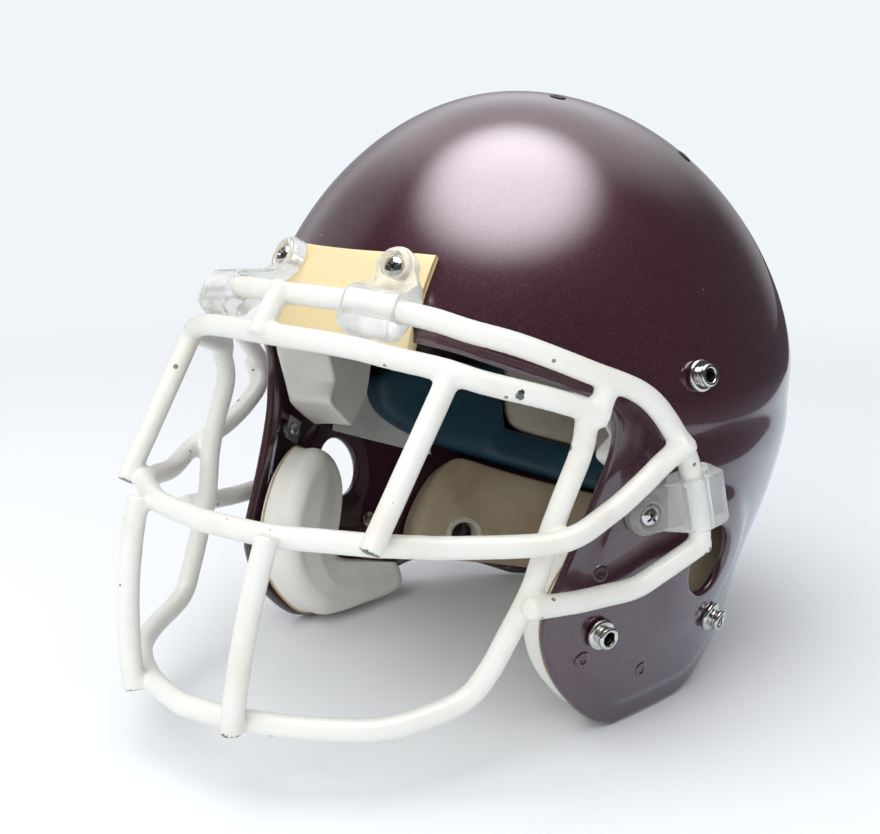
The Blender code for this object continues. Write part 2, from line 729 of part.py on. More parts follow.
def outside(point, one, other, clearance=CROSSING_CLEARANCE):
    """Place beside a wire's point where another wire lies on it, on the side away from the face."""
    away = one.cross(other).normalized()
    if away.dot(Vector((point.x, point.y, 0.0))) < 0.0:
        away.negate()
    return point + away * (2 * WIRE_RADIUS + clearance)


def mirrored(half):
    """Whole wire from its left half, which starts at the middle."""
    return [Vector((-p.x, p.y, p.z)) for p in reversed(half[1:])] + half


def short_of(start, point, run):
    """Where a wire from the start ends against another wire that runs through the point."""
    way = (point - start).normalized()
    lean = abs(way.dot(run))
    back = WIRE_RADIUS * (1.0 + lean) / math.sqrt(1.0 - lean**2) + GAP
    return point - way * back


def guard_wires():
    """Centre lines of the guard's wires: whole ones first, then the left one of each pair."""
    brow = spline(guard_points(BROW_WIRE_SHARES))
    eye = spline(guard_points(EYE_WIRE_SHARES))
    side = guard_points(CHIN_WIRE_SHARES)
    chin = spline([*side, short_of(side[-1], *at_across(eye, CHIN_END_SHARE))])

    front = guard_points(NOSE_WIRE_SHARES)
    side = guard_points(NOSE_WIRE_SIDE_SHARES)
    at, run = at_height(chin, NOSE_CROSSING_SHARE)
    crossing = outside(at, run, direction(front[-1], side[0]))
    end = short_of(side[-1], *at_height(brow, NOSE_END_SHARE))
    nose = spline([*front, crossing, *side, end])

    side = guard_points(SIDE_WIRE_SHARES)
    at, run = at_height(chin, SIDE_CROSSING_SHARE)
    start = outside(at, run, direction(at, side[0]))
    tip = start + direction(side[0], start) * WIRE_TIP
    lower = spline([tip, start, *side, short_of(side[-1], *at_height(brow, SIDE_END_SHARE))])

    wires = {
        "brow_wire": mirrored(brow),
        "eye_wire": mirrored(eye),
        "nose_wire": mirrored(nose),
        "chin_wire": mirrored(chin),
        "centre_strut": between(at_across(mirrored(brow), 0.0), at_across(mirrored(eye), 0.0)),
    }
    pairs = {
        "lower_side_wire": lower,
        "upright": hung(at_across(eye, UPRIGHT_TOP_SHARE), at_across(nose, UPRIGHT_FOOT_SHARE)),
        "chin_upright": laid(at_across(nose, CHIN_UPRIGHT_TOP_SHARE),
                             at_across(chin, CHIN_UPRIGHT_FOOT_SHARE)),
        "side_strut": between(at_across(brow, SIDE_STRUT_TOP_SHARE),
                              at_across(eye, SIDE_STRUT_FOOT_SHARE)),
    }
    return wires, pairs


def direction(start, end):
    """Direction from one point to another."""
    return (end - start).normalized()


def between(top, foot):
    """Strut whose ends stop against two wires, each given by a point and a direction."""
    return [short_of(foot[0], *top), short_of(top[0], *foot)]


def hung(top, foot):
    """Upright that stops under the top wire and lies over the foot wire."""
    end = outside(*foot, direction(top[0], foot[0]))
    start = short_of(end, *top)
    return [start, end + direction(start, end) * WIRE_TIP]


def laid(top, foot):
    """Upright that lies over two wires and bows away from the face between them."""
    run = direction(top[0], foot[0])
    start, end = outside(*top, run, GAP), outside(*foot, run, GAP)
    away = direction(top[0], start) * CHIN_UPRIGHT_BOW
    points = [start - run * WIRE_TIP, end + run * WIRE_TIP]
    middle = [points[0].lerp(points[1], share) + away * math.sin(math.pi * share)
              for share in (0.25, 0.5, 0.75)]
    return spline([points[0], *middle, points[1]])


def build_guard(shop, wires, pairs):
    """The wires of the face guard."""
    for name, curve in wires.items():
        shop.add(name, wire_mesh(resample(curve, WIRE_STEP), WIRE_RADIUS), IVORY)
    for name, curve in pairs.items():
        shop.add_pair(name, wire_mesh(resample(curve, WIRE_STEP), WIRE_RADIUS), IVORY, Matrix())


# Bumper


def build_bumper(shop, screw_seats):
    """Brow bumper: a plate on the shell, held by the clip screws, with a lip under the brow."""
    columns = 16
    inner = GAP + CURVE_CLEARANCE / 2
    outer = inner + BUMPER_THICKNESS
    under = -SHELL_WALL
    mesh = bpy.data.meshes.new("bumper")
    work = bmesh.new()
    loops = []
    for column in range(columns + 1):
        across = BUMPER_HALF_WIDTH * (2 * column / columns - 1)
        edge = brow_height(surface(turn_before(across, BROW_SHARES[1][1] * WIDEST_HEIGHT),
                                   level_at(BROW_SHARES[1][1] * WIDEST_HEIGHT)).y)
        under_edge = edge - GAP - CURVE_CLEARANCE
        foot = under_edge - BUMPER_LIP
        middle = (edge + BUMPER_TOP_HEIGHT) / 2
        ring = []
        for offset, height in (
            (outer, foot + BUMPER_LIP / 3), (outer, edge), (outer, middle),
            (outer, BUMPER_TOP_HEIGHT - BUMPER_LIP / 4), (outer - BUMPER_LIP / 4, BUMPER_TOP_HEIGHT),
            (inner, BUMPER_TOP_HEIGHT), (inner, middle), (inner, under_edge),
            (under, under_edge), (under, foot), (outer - BUMPER_LIP / 3, foot),
        ):
            point, _ = place(turn_before(across, height), level_at(height), offset)
            ring.append(work.verts.new(point))
        loops.append(ring)
    for a, b in zip(loops, loops[1:]):
        count = len(a)
        for k in range(count):
            work.faces.new((a[k], a[(k + 1) % count], b[(k + 1) % count], b[k]))
    work.faces.new(loops[0][::-1])
    work.faces.new(loops[-1])
    face_outward(work)
    work.to_mesh(mesh)
    work.free()
    hole = bar_mesh(SCREW_SHANK_RADIUS + GAP, -SHELL_WALL, BUMPER_THICKNESS + CUT_OVERRUN)
    mesh = boolean_mesh(mesh, [("DIFFERENCE", hole, matrix) for matrix in screw_seats])
    shop.add("brow_bumper", smooth(mesh), CREAM)


# Clips, screws and tee nuts


def clip_profile(away, stand, rise):
    """Side outline of a clip: a strap folded round the wire, with both legs under the screw.

    The wire lies this far away along the seat and stands this far off it, and the lower leg's
    foot lies at the rise.
    """
    bore = WIRE_RADIUS + CLIP_BORE_CLEARANCE
    ring = bore + CLIP_RING_WALL
    slit = CLIP_SLIT / 2
    top = rise + CLIP_THICKNESS
    middle = rise + CLIP_THICKNESS / 2
    centre = Vector((away, stand))
    nose, shoulder = -CLIP_NOSE_RADIUS, CLIP_NOSE_RADIUS * 0.6

    def arc(radius, start, end, count=TURNED_STEPS):
        angles = [start + (end - start) * k / count for k in range(count + 1)]
        return [centre + radius * Vector((math.cos(a), math.sin(a))) for a in angles]

    def bearing(height):
        leg = Vector((shoulder, height)) - centre
        return math.atan2(leg.y, leg.x) % (2 * math.pi), leg.length

    lower, reach = bearing(rise)
    lower += math.acos(ring / reach)
    upper, reach = bearing(top)
    upper += 2 * math.pi - math.acos(ring / reach)
    inward, _ = bearing(middle)
    half = math.asin(slit / bore)
    points = [(nose, rise), (shoulder, rise), *arc(ring, lower, upper), (shoulder, top),
              (nose, top), (nose, middle + slit), (shoulder, middle + slit),
              *arc(bore, inward + 2 * math.pi - half, inward + half),
              (shoulder, middle - slit), (nose, middle - slit)]
    return [tuple(p) for p in points]


def clip_plan(away):
    """Plan outline of a clip: a round nose at the screw and a wider end at the wire."""
    reach = away + WIRE_RADIUS + CLIP_BORE_CLEARANCE + CLIP_RING_WALL + CUT_OVERRUN
    arc = 12
    points = [(-CLIP_NOSE_RADIUS * math.sin(math.pi * k / arc),
               CLIP_NOSE_RADIUS * math.cos(math.pi * k / arc)) for k in range(arc + 1)]
    shoulder = away - WIRE_RADIUS - CLIP_RING_WALL
    tail = [(shoulder, -CLIP_HALF_WIDTH), (reach, -CLIP_HALF_WIDTH), (reach, CLIP_HALF_WIDTH),
            (shoulder, CLIP_HALF_WIDTH)]
    return points + tail


def clip_frame(turn, level, wire):
    """Matrix of a clip on the shell, with Y along the wire, and the wire's place in it."""
    point, normal = place(turn, level)
    k = min(range(1, len(wire) - 1), key=lambda i: (wire[i] - point).length)
    for _ in range(4):
        run = (wire[k + 1] - wire[k - 1]).normalized()
        across = (run - normal * run.dot(normal)).normalized()
        k = min(range(1, len(wire) - 1), key=lambda i: abs((wire[i] - point).dot(across))
                + (0.0 if (wire[i] - point).length < 4 * CLIP_HALF_WIDTH else 1.0))
    toward = across.cross(normal)
    if (wire[k] - point).dot(toward) < 0.0:
        toward.negate()
        across.negate()
    slip = (wire[k] - point).dot(across)
    at = wire[k] - run * slip
    axes = Matrix((toward, normal.cross(toward), normal)).transposed().to_4x4()
    matrix = Matrix.Translation(point) @ axes
    local = matrix.inverted() @ at
    return matrix, local.x, local.z


def build_clip(shop, name, turn, level, wire, rise):
    """One pair of guard clips with their screws and tee nuts. Gives the left screw's seat."""
    matrix, away, stand = clip_frame(turn, level, wire)
    on_side = Matrix.Rotation(math.pi / 2, 4, "X")
    side = flat_mesh(clip_profile(away, stand, rise), CLIP_HALF_WIDTH + CUT_OVERRUN)
    side.transform(on_side)
    plan = flat_mesh(clip_plan(away), stand + 2 * CLIP_HALF_WIDTH)
    bore = bar_mesh(SCREW_SHANK_RADIUS + GAP, 0.0, 2 * (rise + CLIP_THICKNESS))
    mesh = boolean_mesh(side, [("INTERSECT", plan, Matrix()), ("DIFFERENCE", bore, Matrix())])
    shop.add_pair(f"{name}_clip", smooth(mesh), CLEAR, matrix)
    head = rise + CLIP_THICKNESS + GAP
    shop.add_pair(f"{name}_clip_screw", screw_mesh(head), NICKEL, matrix)
    shop.add_pair(f"{name}_clip_tee_nut", tee_nut_mesh(), NICKEL, matrix)
    return matrix


def screw_mesh(seat_height):
    """Pan-head screw whose head seats at a height and whose shank ends inside the tee nut."""
    head, top = SCREW_HEAD_RADIUS, seat_height + SCREW_HEAD_HEIGHT
    tip = -SHELL_WALL - WALL_CLEARANCE - TEE_PLATE_THICKNESS + SCREW_TIP_CLEARANCE
    dome = [(head * math.sin(angle), seat_height + SCREW_HEAD_HEIGHT * math.cos(angle) ** 0.5)
            for angle in (math.pi / 2 * k / 6 for k in range(1, 6))]
    profile = [(0.0, top), *dome, (head, seat_height + SCREW_HEAD_HEIGHT / 4), (head, seat_height),
               (SCREW_SHANK_RADIUS, seat_height), (SCREW_SHANK_RADIUS, tip + SCREW_SHANK_RADIUS / 3),
               (SCREW_SHANK_RADIUS / 2, tip), (0.0, tip)]
    low = top - SCREW_RECESS_DEPTH
    slot = block_mesh(SCREW_RECESS_LENGTH, SCREW_RECESS_WIDTH, low, top + CUT_OVERRUN)
    cross = Matrix.Rotation(math.pi / 2, 4, "Z")
    return smooth(boolean_mesh(turned_mesh(profile), [("DIFFERENCE", slot, Matrix()),
                                                      ("DIFFERENCE", slot, cross)]))


def tee_nut_mesh():
    """Tee nut: a square plate inside the shell and a barrel in its hole."""
    back = -SHELL_WALL - WALL_CLEARANCE
    low = back - TEE_PLATE_THICKNESS
    plate = block_mesh(TEE_PLATE_SIZE, TEE_PLATE_SIZE, low, back)
    barrel = bar_mesh(TEE_BARREL_RADIUS, back - TEE_PLATE_THICKNESS / 2, -GAP)
    bore = bar_mesh(SCREW_SHANK_RADIUS + GAP, low - CUT_OVERRUN, CUT_OVERRUN)
    turned = Matrix.Rotation(math.pi / 4, 4, "Z")
    plate.transform(turned)
    return smooth(boolean_mesh(plate, [("UNION", barrel, Matrix()),
                                       ("DIFFERENCE", bore, Matrix())]))


# Studs, posts and ports


def stud_mesh():
    """Chin-strap stud, riveted through the wall."""
    back = -SHELL_WALL - WALL_CLEARANCE
    base = GAP
    floor = STUD_HEIGHT - STUD_BORE_DEPTH
    chamfer = STUD_RING_RADIUS - STUD_NECK_RADIUS
    return turned_mesh([
        (0.0, floor), (STUD_BORE_RADIUS, floor), (STUD_BORE_RADIUS, STUD_HEIGHT - chamfer / 2),
        (STUD_BORE_RADIUS + chamfer / 2, STUD_HEIGHT), (STUD_RING_RADIUS - chamfer / 3, STUD_HEIGHT),
        (STUD_RING_RADIUS, STUD_HEIGHT - chamfer / 2), (STUD_RING_RADIUS, STUD_HEIGHT - 2 * chamfer),
        (STUD_NECK_RADIUS, STUD_NECK_HEIGHT), (STUD_NECK_RADIUS, STUD_FLANGE_HEIGHT + chamfer / 2),
        (STUD_FLANGE_RADIUS - chamfer, STUD_FLANGE_HEIGHT), (STUD_FLANGE_RADIUS, base + chamfer / 2),
        (STUD_FLANGE_RADIUS - chamfer / 2, base), (STUD_SHANK_RADIUS, base),
        (STUD_SHANK_RADIUS, back), (STUD_BACK_RADIUS, back),
        (STUD_BACK_RADIUS, back - STUD_BACK_HEIGHT), (0.0, back - STUD_BACK_HEIGHT),
    ])


def post_mesh():
    """Jaw pad post: a dimpled head outside, a shank and a snap disc inside."""
    back = -SHELL_WALL - WALL_CLEARANCE
    top = GAP + POST_HEAD_HEIGHT
    return turned_mesh([
        (0.0, top - POST_DIMPLE_DEPTH), (POST_DIMPLE_RADIUS / 2, top - POST_DIMPLE_DEPTH),
        (POST_DIMPLE_RADIUS, top), (POST_HEAD_RADIUS * 0.7, top),
        (POST_HEAD_RADIUS, GAP + POST_HEAD_HEIGHT / 3), (POST_HEAD_RADIUS, GAP),
        (POST_SHANK_RADIUS, GAP), (POST_SHANK_RADIUS, back), (STUD_BACK_RADIUS, back),
        (STUD_BACK_RADIUS, back - STUD_BACK_HEIGHT), (0.0, back - STUD_BACK_HEIGHT),
    ])


def port_mesh():
    """Valve port: a short tube with a rim outside and one inside."""
    back = -SHELL_WALL - WALL_CLEARANCE
    rim, tube = PORT_RADIUS + PORT_BORE_RADIUS, PORT_RADIUS - GAP
    top, low = GAP + PORT_HEIGHT, back - PORT_HEIGHT
    ring = [(PORT_BORE_RADIUS, top), (rim, top), (rim, GAP), (tube, GAP), (tube, back),
            (rim, back), (rim, low), (PORT_BORE_RADIUS, low), (PORT_BORE_RADIUS, top)]
    return turned_mesh(ring)


# Pads


def cushion_mesh(outline, where, thickness, seat_depth):
    """Padded form on the shell's inner wall, from a sphere whose points are moved.

    The outline gives a place on the pad's edge for an angle, and where() turns a place and a
    depth below the outer surface into a point. The face toward the head is crowned, and the
    sides draw in to the face on the wall.
    """
    mesh = bpy.data.meshes.new("cushion")
    work = bmesh.new()
    bmesh.ops.create_uvsphere(work, u_segments=PAD_SEGMENTS, v_segments=PAD_RINGS, radius=1.0)
    centre = outline(None)
    edge = thickness * PAD_EDGE_SHARE
    for vert in work.verts:
        spread = min(1.0, math.hypot(vert.co.x, vert.co.y))
        angle = math.atan2(vert.co.y, vert.co.x)
        rim = outline(angle)
        out = spread**PAD_PLAN_POWER
        if vert.co.z >= 0.0:
            depth = edge + (thickness - edge) * vert.co.z**PAD_CROWN_POWER
        else:
            low = abs(vert.co.z)
            depth = edge * (1.0 - min(1.0, 2 * low))
            out *= 1.0 - PAD_TUCK_SHARE * min(1.0, 2 * low)
        at = (centre[0] + (rim[0] - centre[0]) * out, centre[1] + (rim[1] - centre[1]) * out)
        vert.co = where(at[0], at[1], -(seat_depth + depth))
    face_outward(work)
    work.to_mesh(mesh)
    work.free()
    return smooth(mesh, 60.0)


def drawn_outline(shares, centre):
    """Edge of a side pad, drawn by hand in shares of the front length and the widest height."""
    points = [Vector((b * SHELL_FRONT_LENGTH, h * WIDEST_HEIGHT)) for b, h in shares]
    middle = Vector((centre[0] * SHELL_FRONT_LENGTH, centre[1] * WIDEST_HEIGHT))
    ring = closed_spline(points, OUTLINE_STEPS * 2)

    def outline(angle):
        if angle is None:
            return middle
        ray = Vector((math.cos(angle), math.sin(angle)))
        best = ring[0]
        for a, b in zip(ring, ring[1:] + ring[:1]):
            u, v = a - middle, b - middle
            cross_u = ray.x * u.y - ray.y * u.x
            cross_v = ray.x * v.y - ray.y * v.x
            if cross_u * cross_v <= 0.0 and cross_u != cross_v and (u + v).dot(ray) > 0.0:
                best = a.lerp(b, cross_u / (cross_u - cross_v))
        return best

    return outline


def beside(back, height, offset):
    """Point under the wearer's left side of the shell."""
    return place(turn_beside(back, height), level_at(height), offset)[0]


def band_mesh(middle_turn, half_turn, height, end_rise, half_height, thickness, seat_depth):
    """Padded band round the inner wall, lofted from crowned sections that taper at the ends.

    The band's middle lies at a height, and its ends rise above that.
    """
    edge = thickness * PAD_EDGE_SHARE
    tuck = 1.0 - PAD_TUCK_SHARE
    back = [(-tuck, 0.0), (-tuck / 2, 0.0), (0.0, 0.0), (tuck / 2, 0.0), (tuck, 0.0)]
    face = []
    for k in range(PAD_RINGS - 1):
        angle = math.pi * k / (PAD_RINGS - 2)
        across = signed_power(math.cos(angle), PAD_PLAN_POWER)
        rise = edge + (thickness - edge) * math.sin(angle) ** PAD_CROWN_POWER
        face.append((across, rise))
    mesh = bpy.data.meshes.new("band")
    work = bmesh.new()
    loops = []
    for column in range(PAD_SEGMENTS + 1):
        along = math.sin(math.pi / 2 * (2 * column / PAD_SEGMENTS - 1.0))
        taper = max(PAD_END_SHARE, (1.0 - abs(along) ** PAD_END_POWER) ** 0.5)
        turn = middle_turn + half_turn * along
        loops.append([
            work.verts.new(place(turn, level_at(height + end_rise * along**2
                                                + half_height * taper * across),
                                 -(seat_depth + depth * taper))[0])
            for across, depth in back + face
        ])
    for a, b in zip(loops, loops[1:]):
        for k in range(len(a)):
            after = (k + 1) % len(a)
            work.faces.new((a[k], a[after], b[after], b[k]))
    work.faces.new(loops[0][::-1])
    work.faces.new(loops[-1])
    face_outward(work)
    work.to_mesh(mesh)
    work.free()
    return smooth(mesh, 60.0)


def build_pads(shop):
    """Pads and air liner on the shell's inner wall."""
    on_wall = SHELL_WALL + GAP + CURVE_CLEARANCE
    over_hardware = SHELL_WALL + WALL_CLEARANCE + TEE_PLATE_THICKNESS + GAP
    jaw = cushion_mesh(drawn_outline(JAW_PAD_SHARES, JAW_PAD_CENTRE_SHARES), beside,
                       JAW_PAD_THICKNESS, over_hardware)
    shop.add_pair("jaw_pad", jaw, FOAM, Matrix())
    temple = cushion_mesh(drawn_outline(TEMPLE_PAD_SHARES, TEMPLE_PAD_CENTRE_SHARES), beside,
                          TEMPLE_PAD_THICKNESS, over_hardware)
    shop.add_pair("temple_pad", temple, FOAM, Matrix())

    front, rear = -math.pi / 2, math.pi / 2
    for name, middle, half_turn, height, end_rise, half_height, thickness, depth, colours in (
        ("forehead_pad", front, FOREHEAD_PAD_HALF_TURN, FOREHEAD_PAD_HEIGHT, FOREHEAD_PAD_SHARES[1],
         FOREHEAD_PAD_HALF_HEIGHT, FOREHEAD_PAD_THICKNESS, over_hardware, FOAM),
        ("air_band", rear, AIR_BAND_HALF_TURN, AIR_BAND_HEIGHT, AIR_BAND_END_RISE,
         AIR_BAND_HALF_HEIGHT, AIR_BAND_THICKNESS, on_wall, TEAL),
        ("nape_pad", rear, NAPE_PAD_HALF_TURN, NAPE_PAD_HEIGHT, NAPE_PAD_END_RISE,
         NAPE_PAD_HALF_HEIGHT, NAPE_PAD_THICKNESS, on_wall, TAN),
        ("rear_pad", rear, REAR_PAD_HALF_TURN, REAR_PAD_HEIGHT, REAR_PAD_END_RISE,
         REAR_PAD_HALF_HEIGHT, REAR_PAD_THICKNESS, on_wall, BEIGE),
    ):
        shop.add(name, band_mesh(middle, math.radians(half_turn), height, end_rise, half_height,
                                 thickness, depth), colours)

    def above(across, back, offset):
        turn, level = angles_above(across, back + CROWN_PAD_BACK)
        return place(turn, level, offset)[0]

    def crown_outline(angle):
        if angle is None:
            return (0.0, 0.0)
        return (CROWN_PAD_RADIUS * math.cos(angle), CROWN_PAD_RADIUS * math.sin(angle))

    shop.add("crown_pad", cushion_mesh(crown_outline, above, CROWN_PAD_THICKNESS,
                                       on_wall + PORT_HEIGHT + WALL_CLEARANCE), TEAL)


def main():
    """Build the helmet."""
    clear_scene()
    shop = Workshop()
    wires, pairs = guard_wires()
    build_guard(shop, wires, pairs)

    flip = Matrix.Scale(-1, 4, Vector((1, 0, 0)))
    seats = {}

    def both(name, matrix, radius):
        seats[f"{name}_left"] = (matrix, radius)
        seats[f"{name}_right"] = (flip @ matrix @ flip, radius)

    tee_hole = TEE_BARREL_RADIUS + GAP
    level = level_at(TOP_CLIP_HEIGHT)
    over_bumper = 2 * GAP + CURVE_CLEARANCE + BUMPER_THICKNESS
    both("top_clip", build_clip(shop, "top", turn_before(TOP_CLIP_ACROSS, TOP_CLIP_HEIGHT), level,
                                wires["brow_wire"], over_bumper), tee_hole)
    build_bumper(shop, [matrix for matrix, _ in seats.values()])
    level = level_at(SIDE_CLIP_HEIGHT)
    both("side_clip", build_clip(shop, "side", turn_beside(SIDE_CLIP_BACK, SIDE_CLIP_HEIGHT), level,
                                 wires["brow_wire"], GAP + CURVE_CLEARANCE), tee_hole)

    stud = stud_mesh()
    for name, shares in STUD_SHARES.items():
        matrix = beside_seat(shares)
        shop.add_pair(f"{name}_stud", stud.copy(), NICKEL, matrix)
        both(f"{name}_stud", matrix, STUD_SHANK_RADIUS + GAP)
    post = post_mesh()
    for name, shares in POST_SHARES.items():
        matrix = beside_seat(shares)
        shop.add_pair(f"{name}_pad_post", post.copy(), PLUM, matrix)
        both(f"{name}_pad_post", matrix, POST_SHANK_RADIUS + GAP)
    port = port_mesh()
    for name, (across, back) in PORT_SHARES.items():
        matrix = seat(*angles_above(across * SHELL_HALF_WIDTH, back * SHELL_REAR_LENGTH))
        shop.add(f"{name}_valve_port", port.copy(), BLACK, matrix)
        seats[f"{name}_valve_port"] = (matrix, PORT_RADIUS)

    build_shell(shop, seats)
    build_pads(shop)


main()
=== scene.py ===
import math

import bmesh
import bpy
from mathutils import Matrix, Vector, kdtree


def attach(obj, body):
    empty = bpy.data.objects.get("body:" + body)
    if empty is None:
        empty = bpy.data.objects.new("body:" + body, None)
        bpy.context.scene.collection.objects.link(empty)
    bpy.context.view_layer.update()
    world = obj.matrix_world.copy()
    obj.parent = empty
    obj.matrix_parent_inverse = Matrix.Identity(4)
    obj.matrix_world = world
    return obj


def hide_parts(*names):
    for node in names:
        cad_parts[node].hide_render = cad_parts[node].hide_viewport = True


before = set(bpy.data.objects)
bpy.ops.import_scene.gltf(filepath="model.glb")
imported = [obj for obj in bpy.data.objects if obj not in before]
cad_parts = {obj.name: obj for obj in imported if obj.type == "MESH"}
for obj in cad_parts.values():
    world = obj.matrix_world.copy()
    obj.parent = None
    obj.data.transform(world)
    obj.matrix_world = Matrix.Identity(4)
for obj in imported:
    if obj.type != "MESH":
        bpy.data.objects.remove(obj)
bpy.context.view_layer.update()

# The helmet is worked out from the point on the floor below its widest section. Each finished
# piece is then moved back by this much, to the frame's origin. Lengths are in metres.
HEAD_SHIFT = Vector((0.0, 0.02615, 0.0))

SHELL_HALF_WIDTH = 0.1116
SHELL_REAR_LENGTH = 0.1374
SHELL_FRONT_LENGTH = 0.1136
WIDEST_HEIGHT = 0.1264
CROWN_RISE = 0.1160
SHELL_WALL = 0.0040
CROWN_POWER = 1.22

# Shares of the widest section's sizes, at shares of the way down from it to the floor.
SECTION_DEPTHS = (0.0, 0.33, 0.66, 1.0)
SECTION_WIDTHS = (1.0, 0.958, 0.882, 0.825)
SECTION_REARS = (1.0, 0.898, 0.757, 0.680)
SECTION_FRONTS = (1.0, 1.187, 1.438, 1.692)
SECTION_SHIFTS = (0.0, 0.02, -0.035, -0.06)

EAR_BULGE = 0.0030
EAR_BULGE_LENGTH = 0.052
EAR_BULGE_HEIGHT = 0.056
EAR_HOLE = Vector((-0.008, 0.0625))
EAR_HOLE_HALF = Vector((0.0120, 0.0140))

# The shell's side outline, in shares of its front or rear length and of its widest height.
BROW_EDGE = (
    (1.012, 1.246), (0.868, 1.192), (0.806, 1.160), (0.736, 1.125), (0.653, 1.088),
)
OPENING_EDGE = (
    (0.653, 1.088), (0.581, 1.057), (0.528, 1.005), (0.519, 0.940), (0.537, 0.854),
    (0.572, 0.767), (0.625, 0.657), (0.695, 0.522), (0.741, 0.435), (0.752, 0.356),
    (0.731, 0.285), (0.692, 0.206), (0.623, 0.127), (0.546, 0.062), (0.470, 0.018),
    (0.396, 0.0),
)
NAPE_EDGE = (
    (-0.025, 0.0), (0.050, 0.022), (0.140, 0.068), (0.270, 0.084), (0.395, 0.050),
    (0.495, 0.0),
)

WIRE_RADIUS = 0.0042
GUARD_HALF_WIDTH = 0.1150
GUARD_REACH = 0.1855
BROW_WIRE_HEIGHT = 0.1700

# Centre lines of the wires, in shares of the guard's half width, its reach and the brow wire's
# height.
BROW_WIRE = (
    (0.0, 0.701, 1.0), (0.235, 0.685, 0.997), (0.391, 0.658, 0.984), (0.517, 0.625, 0.968),
    (0.617, 0.593, 0.947), (0.736, 0.537, 0.920), (0.878, 0.439, 0.863), (0.970, 0.334, 0.803),
    (1.0, 0.243, 0.694), (1.0, 0.192, 0.606), (1.0, 0.168, 0.529), (0.996, 0.142, 0.424),
)
EYE_WIRE = (
    (0.0, 0.760, 0.921), (0.313, 0.730, 0.912), (0.465, 0.695, 0.894), (0.591, 0.647, 0.874),
    (0.687, 0.604, 0.850), (0.800, 0.520, 0.818), (0.861, 0.4555, 0.791), (0.904, 0.406, 0.769),
)
NOSE_WIRE = (
    (0.0, 0.927, 0.547), (0.261, 0.906, 0.547), (0.435, 0.857, 0.547), (0.545, 0.812, 0.543),
    (0.615, 0.755, 0.535), (0.700, 0.672, 0.524),
)
NOSE_WIRE_SIDE = ((0.922, 0.404, 0.562), (0.946, 0.323, 0.606), (0.974, 0.270, 0.650))
CHIN_WIRE = (
    (0.0, 0.992, 0.159), (0.174, 0.970, 0.159), (0.322, 0.933, 0.159), (0.478, 0.873, 0.159),
    (0.600, 0.792, 0.160), (0.691, 0.668, 0.188), (0.730, 0.620, 0.241), (0.757, 0.582, 0.312),
    (0.791, 0.534, 0.412), (0.817, 0.507, 0.518), (0.835, 0.474, 0.606), (0.852, 0.435, 0.700),
)
SIDE_WIRE = (
    (0.870, 0.455, 0.374), (0.885, 0.385, 0.369), (0.915, 0.305, 0.369), (0.942, 0.245, 0.391),
)


# Moving through the scene


def deselect():
    """Leave edit mode and select nothing."""
    if bpy.context.object and bpy.context.object.mode != "OBJECT":
        bpy.ops.object.mode_set(mode="OBJECT")
    bpy.ops.object.select_all(action="DESELECT")


def take(obj, *others):
    """Select only these pieces, with the first one active."""
    deselect()
    for piece in (obj, *others):
        piece.select_set(True)
    bpy.context.view_layer.objects.active = obj
    return obj


def edit(obj, select="SELECT", kind="FACE"):
    """Open a piece in edit mode with all or none of its faces or edges selected."""
    take(obj)
    bpy.ops.object.mode_set(mode="EDIT")
    bpy.ops.mesh.select_mode(type=kind)
    bpy.ops.mesh.select_all(action=select)


def pick(obj, kind, wanted):
    """In edit mode, select just the faces or edges that pass a test."""
    work = bmesh.from_edit_mesh(obj.data)
    for part in getattr(work, kind):
        part.select = wanted(part)
    bmesh.update_edit_mesh(obj.data)


def face_out(weld=0.000001):
    """In edit mode, merge a piece's doubles and face it outwards."""
    bpy.ops.mesh.select_all(action="SELECT")
    bpy.ops.mesh.remove_doubles(threshold=weld)
    bpy.ops.mesh.normals_make_consistent(inside=False)


def close_edit():
    """Leave edit mode."""
    bpy.ops.object.mode_set(mode="OBJECT")


def modify(obj, kind, **settings):
    """Apply a modifier with these settings."""
    take(obj)
    modifier = obj.modifiers.new(kind.lower(), kind)
    for key, value in settings.items():
        setattr(modifier, key, value)
    bpy.ops.object.modifier_apply(modifier=modifier.name)
    return obj


def melt(obj, voxel, rounds):
    """Flow a piece's parts into one skin, and smooth it."""
    modify(obj, "REMESH", mode="VOXEL", voxel_size=voxel)
    modify(obj, "SMOOTH", factor=0.5, iterations=rounds)
    return shade(obj)


def join(pieces):
    """Join pieces into the first."""
    take(*pieces)
    bpy.ops.object.join()
    return bpy.context.object


def shade(obj, degrees=None):
    """Shade a piece smooth, all over or below an angle."""
    take(obj)
    if degrees is None:
        bpy.ops.object.shade_smooth()
    else:
        bpy.ops.object.shade_smooth_by_angle(angle=math.radians(degrees))
    return obj


def put(name, data):
    """Place an object with this data in the scene."""
    obj = bpy.data.objects.new(name, data)
    bpy.context.scene.collection.objects.link(obj)
    return obj


def moved(obj, matrix):
    """Move a piece's mesh."""
    obj.data.transform(matrix)
    return obj


def unit_sphere(segments, rings):
    """Sphere whose points are then moved into a shape."""
    deselect()
    bpy.ops.mesh.primitive_uv_sphere_add(segments=segments, ring_count=rings, radius=1.0)
    return bpy.context.object


def unit_grid(columns, rows):
    """Square sheet, from -1 to 1, whose points are then moved into a shape."""
    deselect()
    bpy.ops.mesh.primitive_grid_add(x_subdivisions=columns, y_subdivisions=rows, size=2.0)
    return bpy.context.object


